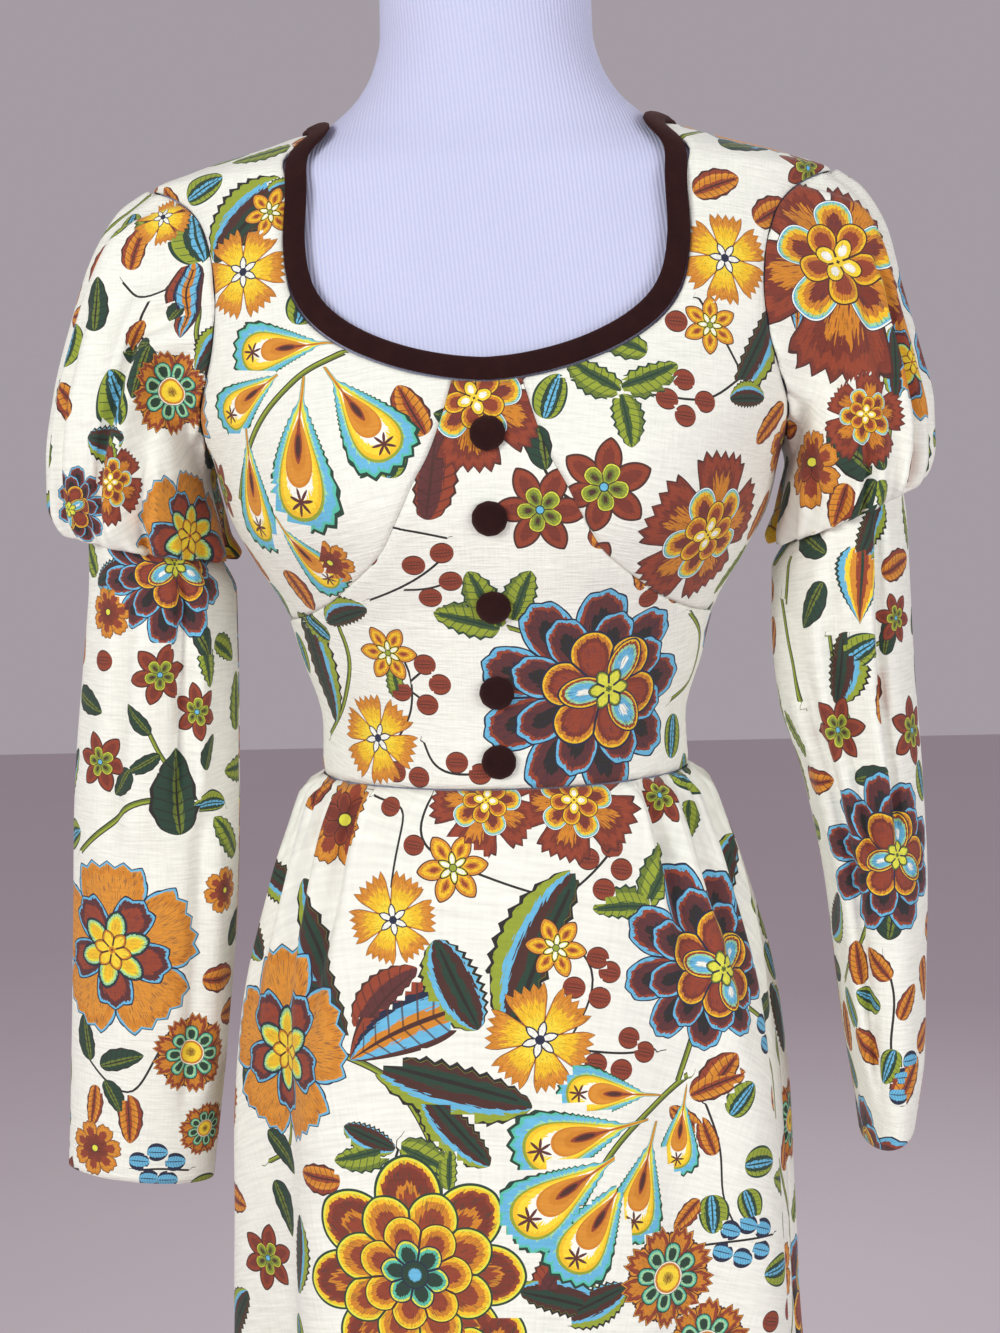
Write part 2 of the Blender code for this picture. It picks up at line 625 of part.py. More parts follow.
def armhole_ring():
    """The armhole's own edge, as the first ring of a sleeve."""
    front = armhole_track(-ARMHOLE_FRONT)[::-1]
    rear = armhole_track(ARMHOLE_BACK)
    track = np.vstack([front[:-1], rear[:-1]])
    ring = body_points(track[:, 0], track[:, 1])
    ring[:, 0] += SEAM
    return ring


def stand_out(rings, by):
    """Moves each ring's points away from its middle by their own distances."""
    for ring, distances in zip(rings, by):
        away = ring - ring.mean(axis=0)
        away /= np.linalg.norm(away, axis=1, keepdims=True)
        ring += distances[:, None] * away


def make_puff(side):
    """The gathered upper sleeve, which balloons over the seam with the lower sleeve."""
    rings = [armhole_ring()] + [ring_points(ring, SLEEVE_SIDES) for ring in PUFF[side]]
    turn = np.arange(SLEEVE_SIDES) * 2 * np.pi / SLEEVE_SIDES
    wave = np.cos(PUFF_GATHERS * turn) * (1 + 0.35 * np.sin(2 * turn + 0.6))
    strength = (0.0, 0.8, 0.9, 0.5, 0.4, 0.6, 0.9, 0.6, 0.0)
    stand_out(rings, [GATHER_DEPTH * share * wave for share in strength])
    make_tube(f"sleeve_puff_{side}", rings, side)


def make_lower_sleeve(side):
    """The narrow lower sleeve, open at its wrist."""
    rings = [ring_points(ring, LOWER_SIDES) for ring in LOWER_SLEEVE[side]]
    angle = np.arange(LOWER_SIDES) * 360.0 / LOWER_SIDES
    moves = []
    for ring in LOWER_SLEEVE[side]:
        height = (ring.out_z + ring.in_z) / 2
        move = np.zeros(LOWER_SIDES)
        for crease in SLEEVE_CREASES[side]:
            down = np.clip((crease.top - height) / (crease.top - crease.low), 0, 1)
            middle = crease.angle_top + (crease.angle_low - crease.angle_top) * down
            away = (angle - middle + 180) % 360 - 180
            move += crease.depth * np.sin(np.pi * down) * bell(away, crease.width)
        moves.append(move)
    stand_out(rings, moves)
    make_tube(f"sleeve_lower_{side}", rings, side)


def make_tube(name, rings, side):
    """A sleeve's wall through its rings, which run down the arm."""
    grid = np.array(rings)[::-1, ::-1]
    if side == "left":
        grid = mirrored(grid)
    give_wall(place(name, lofted(name, grid, closed_round=True), LINEN))


# ---------------------------------------------------------------- binding and buttons
BINDING_SIDES = 8


def make_binding():
    """The velvet binding round the whole neckline, a rounded strip just inside the cloth's edge."""
    half = np.vstack([NECK_MIDDLE[:-1], NECK_SIDE[:-1], NECK_REAR])
    other = half[-2:0:-1] * [-1, 1]
    loop = np.vstack([half, other])
    edge = body_points(loop[:, 0], loop[:, 1])
    face = outward(body_points, loop[:, 0], loop[:, 1])
    ahead = np.roll(edge, -1, axis=0) - np.roll(edge, 1, axis=0)
    inward = np.cross(face, ahead)
    inward /= np.linalg.norm(inward, axis=1, keepdims=True)
    middle = edge + inward * (BINDING_WIDTH / 2 + SEAM / 2) + face * BINDING_LIFT
    turn = np.arange(BINDING_SIDES) * 2 * np.pi / BINDING_SIDES
    grid = np.array([
        middle + inward * BINDING_WIDTH / 2 * np.cos(t) - face * BINDING_THICKNESS / 2 * np.sin(t)
        for t in turn])
    mesh = lofted("neck_binding", np.concatenate([grid, grid[:1]]), closed_round=True)
    weld(mesh)
    place("neck_binding", mesh, VELVET)


def weld(mesh):
    """Joins the points that lie on each other, where a loft meets its own start."""
    edit = bmesh.new()
    edit.from_mesh(mesh)
    bmesh.ops.remove_doubles(edit, verts=edit.verts, dist=1e-6)
    edit.to_mesh(mesh)
    edit.free()


def make_buttons():
    """Five velvet-covered buttons down the centre front, each a low dome seated on the panel."""
    profile = [(0.0, BUTTON_RISE)]
    for t in (0.45, 0.85):
        profile.append((BUTTON_RADIUS * t, BUTTON_RISE * (1 - t ** 2.6)))
    profile += [(BUTTON_RADIUS, 0.0010), (BUTTON_RADIUS * 0.93, 0.0), (0.0, 0.0)]
    for number, height in enumerate(BUTTON_HEIGHTS, start=1):
        seat = body_points(0.0, height)
        normal = outward(body_points, np.array(0.0), np.array(height))
        reach = np.degrees(BUTTON_RADIUS / abs(seat[1]))
        rim = np.array([
            body_points(reach * np.cos(t), height + BUTTON_RADIUS * np.sin(t))
            for t in np.linspace(0, 2 * np.pi, 16)])
        rise = max(0.0, ((rim - seat) @ normal).max())
        button = turned(f"button_{number}", profile, VELVET, 12)
        button.location = Vector(seat + normal * (rise + BUTTON_SEAT))
        button.rotation_mode = "QUATERNION"
        button.rotation_quaternion = Vector((0, 0, 1)).rotation_difference(Vector(normal))


# ---------------------------------------------------------------- colours
# Base colour, roughness, metallic, sheen.
LINEN = ((0.72, 0.66, 0.54), 0.85, 0.0, 0.1)
VELVET = ((0.050, 0.014, 0.012), 0.80, 0.0, 0.4)
JERSEY = ((0.68, 0.68, 0.80), 0.80, 0.0, 0.1)
PAINTED_STEEL = ((0.60, 0.60, 0.62), 0.45, 0.0, 0.0)
BRIGHT_STEEL = ((0.60, 0.60, 0.62), 0.25, 1.0, 0.0)

clear_scene()
collection = bpy.data.collections.new("prairie dress")
bpy.context.scene.collection.children.link(collection)

make_form()
make_stand()
make_centre_front()
make_bodice_sides()
make_skirt()
for arm in ("left", "right"):
    make_puff(arm)
    make_lower_sleeve(arm)
make_binding()
make_buttons()
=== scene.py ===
"""The looks of a long-sleeved prairie dress on its dress form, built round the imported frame.

Metres, +Z up. The dress's front faces -Y and +X is on the right of someone who looks at it.
"""

from collections import namedtuple
from math import cos, pi, radians, sin

import bpy
import numpy as np
from mathutils import Matrix, Vector
from mathutils.bvhtree import BVHTree
from mathutils.interpolate import poly_3d_calc


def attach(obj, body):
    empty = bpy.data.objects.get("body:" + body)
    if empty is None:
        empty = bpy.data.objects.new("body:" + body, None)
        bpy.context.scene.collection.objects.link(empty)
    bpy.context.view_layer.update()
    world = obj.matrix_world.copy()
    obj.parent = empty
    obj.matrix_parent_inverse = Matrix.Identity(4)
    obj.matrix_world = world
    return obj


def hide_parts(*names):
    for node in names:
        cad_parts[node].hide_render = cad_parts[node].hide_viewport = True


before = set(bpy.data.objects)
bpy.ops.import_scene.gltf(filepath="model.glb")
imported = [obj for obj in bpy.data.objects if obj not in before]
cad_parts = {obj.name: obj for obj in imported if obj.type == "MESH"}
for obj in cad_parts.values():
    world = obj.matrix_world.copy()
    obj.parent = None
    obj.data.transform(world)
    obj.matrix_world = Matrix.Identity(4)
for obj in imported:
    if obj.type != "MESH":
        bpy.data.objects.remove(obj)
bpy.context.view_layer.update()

# ---------------------------------------------------------------- the camera
# It stands a little over a metre in front of the bodice, a touch above the bust, and looks down
# slightly. The print is laid out by the photo's own pixels, so its rays are worked out here.
EYE = np.array([0.0504, -1.1920, 1.2494])
YAW, PITCH, ROLL = radians(2.507), radians(6.53), radians(-1.56)
LENS, FILM = 56.56, 36.0
PHOTO_WIDTH, PHOTO_HEIGHT = 1000, 1333

ahead = np.array([-sin(YAW) * cos(PITCH), cos(YAW) * cos(PITCH), -sin(PITCH)])
level = np.array([cos(YAW), sin(YAW), 0.0])
above = np.cross(level, ahead)
to_right = cos(ROLL) * level + sin(ROLL) * above
upwards = cos(ROLL) * above - sin(ROLL) * level

bpy.ops.object.camera_add()
camera = bpy.context.object
camera.data.lens = LENS
camera.matrix_world = Matrix(
    [(*row, place) for row, place in zip(np.stack([to_right, upwards, -ahead], 1), EYE)]
    + [(0, 0, 0, 1)])
bpy.context.scene.camera = camera


def ray_through(across, down):
    """The direction of the sight line through a pixel of the photo."""
    focal = LENS / FILM * PHOTO_HEIGHT
    return Vector(
        ahead
        + to_right * (across - PHOTO_WIDTH / 2) / focal
        - upwards * (down - PHOTO_HEIGHT / 2) / focal)


# ---------------------------------------------------------------- the form
# A limbless dress form, padded and covered in a fine ribbed white jersey that is drawn smooth
# over it. The dress hides all of it but the neck and the upper chest.
FORM_EASE = 0.0046       # from the dress's outer face down to the form's skin
FORM_FOOT, FORM_TOP = 0.755, 1.515
BUST_HEIGHT, BUST_APART, BUST_DEPTH, BUST_REACH = 1.215, 0.078, 0.028, 0.048
BUST_ABOVE, BUST_BELOW = 0.046, 0.034

# Sections of a body: the height, the half breadth, the depth in front and behind the middle, and
# how square the section is, from 2 for an ellipse up.
BODY = (
    (0.755, 0.1360, 0.0880, 0.1020, 2.20),
    (0.860, 0.1460, 0.0960, 0.1150, 2.20),
    (0.930, 0.1400, 0.0940, 0.1130, 2.20),
    (0.990, 0.1240, 0.0880, 0.0970, 2.10),
    (1.050, 0.1060, 0.0840, 0.0820, 2.00),
    (1.083, 0.1040, 0.0835, 0.0800, 2.00),
    (1.120, 0.1140, 0.0880, 0.0860, 2.05),
    (1.148, 0.1220, 0.0930, 0.0940, 2.10),
    (1.176, 0.1380, 0.0980, 0.1010, 2.20),
    (1.201, 0.1510, 0.1000, 0.1060, 2.30),
    (1.235, 0.1600, 0.1010, 0.1100, 2.40),
    (1.265, 0.1750, 0.0990, 0.1110, 2.50),
    (1.290, 0.1800, 0.0960, 0.1110, 2.50),
    (1.325, 0.1860, 0.0890, 0.1090, 2.45),
    (1.350, 0.1900, 0.0820, 0.1050, 2.30),
    (1.385, 0.1900, 0.0700, 0.0940, 2.00),
    (1.395, 0.1650, 0.0670, 0.0900, 2.00),
    (1.402, 0.1400, 0.0640, 0.0870, 2.00),
    (1.4135, 0.1040, 0.0595, 0.0815, 2.00),
    (1.428, 0.0825, 0.0560, 0.0735, 2.00),
    (1.4365, 0.0745, 0.0550, 0.0690, 2.00),
    (1.449, 0.0675, 0.0540, 0.0660, 2.00),
    (1.4655, 0.0635, 0.0535, 0.0645, 2.00),
    (1.515, 0.0628, 0.0530, 0.0635, 2.00),
)


def curve_through(knots, values, at):
    """A smooth curve through the points given, which never swings past them."""
    knots, values = np.asarray(knots, float), np.asarray(values, float)
    at = np.clip(at, knots[0], knots[-1])
    steps = np.diff(knots)
    wide = (-1,) + (1,) * (values.ndim - 1)
    rises = np.diff(values, axis=0) / steps.reshape(wide)
    slopes = np.zeros_like(values)
    slopes[0], slopes[-1] = rises[0], rises[-1]
    before, after = rises[:-1], rises[1:]
    same_way = before * after > 0
    total = np.where(same_way, before + after, 1.0)
    slopes[1:-1] = np.where(same_way, 2 * before * after / total, 0.0)
    span = np.clip(np.searchsorted(knots, at, side="right") - 1, 0, len(steps) - 1)
    extra = (1,) * (values.ndim - 1)
    t = ((at - knots[span]) / steps[span]).reshape(at.shape + extra)
    step = steps[span].reshape(at.shape + extra)
    start, end = values[span], values[span + 1]
    return (
        start * (1 + 2 * t) * (1 - t) ** 2
        + end * t * t * (3 - 2 * t)
        + step * slopes[span] * t * (1 - t) ** 2
        - step * slopes[span + 1] * t * t * (1 - t))


def bell(distance, width):
    """1 at no distance, dying away smoothly over about twice the width."""
    return np.exp(-0.5 * (distance / width) ** 2)


def unit(vectors):
    """Vectors of the same directions, one long."""
    return vectors / np.linalg.norm(vectors, axis=-1, keepdims=True)


def ramp(value, low, high):
    """0 below low, 1 above high, and a smooth step between."""
    t = np.clip((value - low) / (high - low), 0, 1)
    return t * t * (3 - 2 * t)


def section_points(table, angle, height):
    """Points of a table's surface at these angles (degrees from the front) and heights."""
    angle, height = np.broadcast_arrays(np.asarray(angle, float), np.asarray(height, float))
    rows = np.array(table)
    sizes = curve_through(rows[:, 0], rows[:, 1:], height)
    breadth, front, back, square = np.moveaxis(sizes, -1, 0)
    across, along = np.sin(np.radians(angle)), np.cos(np.radians(angle))
    depth = np.where(along > 0, front, back)
    reach = (np.abs(across / breadth) ** square + np.abs(along / depth) ** square) ** (-1 / square)
    return np.stack([reach * across, -reach * along, height], axis=-1)


def body_points(angle, height):
    """The bodice's outer face: the body's sections with the two cups standing out in front."""
    points = section_points(BODY, angle, height)
    across, height = points[..., 0], points[..., 2]
    rise = height - BUST_HEIGHT
    level_of_cup = bell(rise, np.where(rise > 0, BUST_ABOVE, BUST_BELOW))
    cups = bell(across - BUST_APART, BUST_REACH) + bell(across + BUST_APART, BUST_REACH)
    facing = ramp(np.cos(np.radians(angle)), 0.0, 0.55)
    points[..., 1] -= BUST_DEPTH * cups * level_of_cup * facing
    return points


def outward(surface, angle, height):
    """Unit normals of a surface of angle and height, pointing out of the body."""
    turn, climb = 0.05, 0.0002
    round_it = surface(angle + turn, height) - surface(angle - turn, height)
    up_it = surface(angle, height + climb) - surface(angle, height - climb)
    return unit(np.cross(round_it, up_it))


def grid_through(name, points):
    """A grid primitive whose points are moved onto these rows, which run upwards."""
    rows, columns = points.shape[:2]
    bpy.ops.object.select_all(action="DESELECT")
    bpy.ops.mesh.primitive_grid_add(
        x_subdivisions=columns - 1, y_subdivisions=rows - 1, size=1, calc_uvs=False)
    piece = bpy.context.object
    piece.name = name
    piece.data.vertices.foreach_set("co", points.reshape(-1).astype(np.float32))
    return piece


def edit(piece):
    """Opens a piece for editing, with all of it selected."""
    bpy.ops.object.select_all(action="DESELECT")
    piece.select_set(True)
    bpy.context.view_layer.objects.active = piece
    bpy.ops.object.mode_set(mode="EDIT")
    bpy.ops.mesh.select_all(action="SELECT")


def merge_points(piece, fill_ends=False):
    """Joins the points that lie on each other, and closes any open ends."""
    edit(piece)
    bpy.ops.mesh.remove_doubles(threshold=1e-5)
    if fill_ends:
        bpy.ops.mesh.select_all(action="DESELECT")
        bpy.ops.mesh.select_non_manifold()
        bpy.ops.mesh.edge_face_add()
    bpy.ops.object.mode_set(mode="OBJECT")
    piece.data.shade_smooth()


def fit(piece, node):
    """The piece rides on the form and stands for its node, which is hidden."""
    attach(piece, "root")
    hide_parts(node)


def srgb(red, green, blue):
    """A colour given in the photo's 0 to 255 values, as a material holds it."""
    shares = np.array([red, green, blue]) / 255.0
    linear = np.where(shares <= 0.04045, shares / 12.92, ((shares + 0.055) / 1.055) ** 2.4)
    return (*[float(c) for c in linear], 1.0)


def feed(tree, socket, value):
    """Gives a socket a field, the output of another node or a plain value."""
    if isinstance(value, Field):
        value = value.source
    if isinstance(value, bpy.types.NodeSocket):
        tree.links.new(value, socket)
    else:
        socket.default_value = value


def operation(name, swapped=False):
    """A method that works out one sum of a field and another value."""
    def method(self, other):
        return self.worked(name, *((other, self) if swapped else (self, other)))
    return method


class Field:
    """A number that a material works out at each point, written like ordinary arithmetic."""

    def __init__(self, tree, source):
        self.tree, self.source = tree, source

    def worked(self, name, *values):
        node = self.tree.nodes.new("ShaderNodeMath")
        node.operation = name
        for socket, value in zip(node.inputs, values):
            feed(self.tree, socket, value)
        return Field(self.tree, node.outputs[0])

    def __abs__(self):
        return self.worked("ABSOLUTE", self)

    __add__, __mul__ = operation("ADD"), operation("MULTIPLY")
    __sub__, __rsub__ = operation("SUBTRACT"), operation("SUBTRACT", swapped=True)
    __truediv__, __pow__ = operation("DIVIDE"), operation("POWER")
    below, over = operation("LESS_THAN"), operation("GREATER_THAN")
    at_least, at_most = operation("MAXIMUM"), operation("MINIMUM")
    folded = operation("PINGPONG")      # back and forth, from 0 to the value and back again


def parted(tree, vector):
    """A vector's three numbers as fields."""
    node = tree.nodes.new("ShaderNodeSeparateXYZ")
    feed(tree, node.inputs[0], vector)
    return [Field(tree, output) for output in node.outputs]


def own_place(tree):
    """A point's place on its object."""
    return parted(tree, tree.nodes.new("ShaderNodeTexCoord").outputs["Object"])


def on_map(tree, name):
    """A point's two numbers on a UV map."""
    node = tree.nodes.new("ShaderNodeUVMap")
    node.uv_map = name
    return parted(tree, node.outputs["UV"])[:2]


def noise(tree, x, y, z=0.0, detail=2.0, roughness=0.5):
    """Smooth random values from 0 to 1 over these three numbers."""
    place = tree.nodes.new("ShaderNodeCombineXYZ")
    for socket, value in zip(place.inputs, (x, y, z)):
        feed(tree, socket, value)
    node = tree.nodes.new("ShaderNodeTexNoise")
    for name, value in (("Vector", place.outputs[0]), ("Scale", 1.0), ("Detail", detail),
                        ("Roughness", roughness)):
        feed(tree, node.inputs[name], value)
    return Field(tree, node.outputs["Fac"])


def speckle(tree, scale, **look):
    """Smooth random values over an object's own place, finer the larger the scale."""
    return noise(tree, *[number * scale for number in own_place(tree)], **look)


def mixed(tree, share, under, over, way="MIX"):
    """One colour laid over another by a share."""
    node = tree.nodes.new("ShaderNodeMix")
    node.data_type = "RGBA"
    node.blend_type = way
    for number, value in ((0, share), (6, under), (7, over)):
        feed(tree, node.inputs[number], value)
    return node.outputs[2]


def new_finish(name, **looks):
    """A material with one Principled shader, ready for its colour and bump."""
    material = bpy.data.materials.new(name)
    material.use_nodes = True
    shader = material.node_tree.nodes["Principled BSDF"]
    for socket, value in looks.items():
        shader.inputs[socket.replace("_", " ")].default_value = value
    return material, material.node_tree, shader


def coloured(tree, shader, colour, height=None, depth=0.0):
    """Gives a shader its colour, and bump of this real depth where the height is 1."""
    feed(tree, shader.inputs["Base Color"], colour)
    if height is not None:
        bump = tree.nodes.new("ShaderNodeBump")
        feed(tree, bump.inputs["Distance"], depth)
        feed(tree, bump.inputs["Height"], height)
        feed(tree, shader.inputs["Normal"], bump.outputs[0])


def jersey():
    """White jersey with a cool cast: fine upright ribs that lean a little, painted shade in the
    grooves between them, and soft mottling.
    """
    rib, course, lean, drift = 0.0023, 0.0012, 0.10, 0.0012
    material, tree, shader = new_finish(
        "white ribbed jersey", Roughness=0.85, Sheen_Weight=0.15)
    x, y = on_map(tree, "jersey")
    wander = noise(tree, x * 40, y * 9) - 0.5
    ribs = ((x + y * lean + wander * drift) / rib).folded(0.5) * 2
    knit = (y / course).folded(0.5) * 2
    patches = noise(tree, x * 14, y * 10, detail=3)
    ground = mixed(tree, patches, srgb(198, 197, 226), srgb(211, 210, 235))
    # painted shade: the grooves between the ribs, where the bump sinks, are darkened to the cooler
    # grey
    colour = mixed(tree, ribs ** 0.6, srgb(184, 186, 220), ground)
    coloured(tree, shader, colour, ribs + knit * 0.25, 0.00022)
    return material


def arc_lengths(points, axis):
    """How far each point lies along its own row (axis 1) or column (axis 0)."""
    steps = np.linalg.norm(np.diff(points, axis=axis), axis=-1)
    along = np.cumsum(steps, axis=axis)
    return np.concatenate([np.zeros_like(np.take(along, [0], axis)), along], axis=axis)


def lay_map(piece, name, values):
    """A UV map with one pair of values for each corner of each face."""
    layer = piece.data.uv_layers.new(name=name)
    layer.uv.foreach_set("vector", np.asarray(values, np.float32).reshape(-1))


def corners_of(piece):
    """The point number at each corner of each face."""
    found = np.empty(len(piece.data.loops), int)
    piece.data.loops.foreach_get("vertex_index", found)
    return found


def make_form():
    """The covered form: rows up the body, closed by a rounded foot and a flat cap."""
    sides, spacing, fine_from, neck_from = 120, 0.009, 1.15, 1.38
    heights = np.concatenate([
        np.arange(FORM_FOOT + 0.006, fine_from, 2 * spacing),
        np.arange(fine_from, neck_from, spacing),
        np.arange(neck_from, FORM_TOP - 0.006, spacing / 3), [FORM_TOP - 0.004]])
    angles = np.linspace(-180, 180, sides + 1)
    level_of, turned = np.meshgrid(heights, angles, indexing="ij")
    skin = body_points(turned, level_of)
    skin -= FORM_EASE * outward(body_points, turned, level_of)
    ends = [
        skin[row] * (share, share, 0) + (0, 0, height)
        for row, share, height in ((0, 0.96, FORM_FOOT), (-1, 0.975, FORM_TOP - 0.0012),
                                   (-1, 0.93, FORM_TOP))]
    skin = np.concatenate([ends[:1], skin, ends[1:]])
    piece = grid_through("jersey_form", skin)
    across = arc_lengths(skin, 1)
    across -= across[:, sides // 2, None]
    flat = np.stack([across, skin[..., 2]], -1).reshape(-1, 2)
    lay_map(piece, "jersey", flat[corners_of(piece)])
    merge_points(piece, fill_ends=True)
    piece.data.materials.append(jersey())
    fit(piece, "form_body")


make_form()

# ---------------------------------------------------------------- the stand
# A satin steel pole goes up into the form from a round cast base with a hub, painted pale grey.
# Both keep their solids and get their finishes here.
def brushed_steel():
    """Steel drawn lengthwise: fine upright lines and a few dull patches."""
    material, tree, shader = new_finish("satin steel pole", Metallic=1.0)
    x, y, z = own_place(tree)
    lines = noise(tree, x * 1800, y * 1800, z * 12, detail=3)
    dull = noise(tree, x * 30, y * 30, z * 14)
    feed(tree, shader.inputs["Roughness"], dull * 0.16 + 0.22)
    colour = mixed(tree, lines, srgb(150, 152, 158), srgb(196, 198, 202))
    coloured(tree, shader, colour, lines, 0.00003)
    return material


def painted_iron():
    """Satin paint over cast iron, with a fine orange-peel and a little dust."""
    material, tree, shader = new_finish("pale grey painted base")
    dust = speckle(tree, 22, detail=5)
    feed(tree, shader.inputs["Roughness"], dust * 0.2 + 0.34)
    colour = mixed(tree, dust, srgb(180, 180, 184), srgb(198, 198, 202))
    coloured(tree, shader, colour, speckle(tree, 700), 0.00006)
    return material


for node, material in (("stand_pole", brushed_steel()), ("stand_base", painted_iron())):
    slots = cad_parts[node].data.materials
    slots.clear()
    slots.append(material)

# ---------------------------------------------------------------- the printed cloth
# A cream slub linen with a large flower print. Every panel carries four flat maps: "cloth" runs
# with the grain in metres, "stem", "leaf" and "bloom" hold a face's own place on the nearest
# stem, leaf or flower of the print. A face's material says which flower it belongs to.
CREAM, WRONG_SIDE = srgb(238, 235, 225), srgb(226, 219, 200)
NAVY, INK, BROWN = srgb(34, 38, 62), srgb(40, 34, 32), srgb(74, 40, 34)
MAROON, RUST, BRICK = srgb(92, 44, 44), srgb(146, 62, 38), srgb(122, 50, 36)
AMBER, ORANGE, GOLD = srgb(206, 128, 34), srgb(216, 140, 44), srgb(240, 188, 34)
YELLOW, LEMON, WHITE = srgb(248, 212, 52), srgb(226, 222, 70), srgb(246, 243, 232)
LIME, OLIVE, MOSS = srgb(146, 158, 48), srgb(104, 118, 44), srgb(62, 84, 44)
DARK_GREEN, SKY, TEAL = srgb(38, 62, 48), srgb(104, 178, 214), srgb(88, 186, 160)
MINT = srgb(158, 210, 160)

THREAD = 0.0013          # one rib of the weave
PETAL_RIM, LEAF_RIM = 0.78, 0.8          # the share of a petal or leaf that strokes stay within
PETAL_STROKES, LEAF_STROKES = 0.34, 0.26     # how far the strokes break up the bands of colour
PEN_FROM, PARTING = 0.63, 0.011          # how rare pen lines are, and the line between two petals
LINEN_BUMP = 0.0007
THIN_STEM = 2.0          # what a thin stem's run is raised by on the map, to tell it from a thick one
LEAF_BANDS = (0.20, 0.44, 0.60, 0.87)    # where a leaf's colours change, from its vein to its edge

# A leaf's colours from the middle vein out to its outline, then how it is drawn: how far its
# widest part leans to the tip, how full it is, how many teeth it has and how deep they are.
LEAVES = {
    "lime": ((MOSS, LIME, LIME, OLIVE, DARK_GREEN), (0.75, 0.62, 6, 0.22)),
    "curl": ((DARK_GREEN, BROWN, SKY, LIME, INK), (1.00, 0.62, 11, 0.20)),
    "dark": ((OLIVE, DARK_GREEN, DARK_GREEN, DARK_GREEN, INK), (0.80, 0.70, 4, 0.10)),
    "bud": ((RUST, AMBER, ORANGE, RUST, BROWN), (0.80, 0.60, 4, 0.12)),
    "feather": ((RUST, ORANGE, YELLOW, SKY, DARK_GREEN), (1.90, 0.55, 14, 0.12)),
    "blue": ((SKY, SKY, SKY, NAVY, NAVY), (0.85, 0.55, 1, 0.0)),
    "berry": ((RUST, BRICK, RUST, RUST, BROWN), (1.00, 0.50, 1, 0.0)),
    "paisley": ((AMBER, SKY, NAVY, RUST, BROWN), (1.50, 0.52, 1, 0.0)),
    "eyed": ((SKY, DARK_GREEN, LIME, LIME, DARK_GREEN), (0.85, 0.55, 1, 0.0)),
    "seam": ((MAROON, MAROON, RUST, RUST, BROWN), (0.80, 0.60, 8, 0.18)),
}
LEAF_NUMBER = {name: number for number, name in enumerate(LEAVES)}

# One ring of petals: how many, how far it is turned, where the petals start and end as shares of
# the flower's radius, their half width, how much wider they are at the tip, how square the tip and
# the sides are, its colours from the petal's middle out, each up to the next, the teeth of one
# petal and their depth, a shift of the ring's middle along x, and how far the colours follow the
# distance from the flower's heart instead.
Petals = namedtuple(
    "Petals", "count turn start end breadth flare tip side colours teeth tooth shift outward",
    defaults=(1, 0, 0, 0.0))


def heart(radius, colours):
    """A round disc in a flower's middle."""
    return Petals(1, 0, -radius, radius, radius, 0, 2, 2, colours)


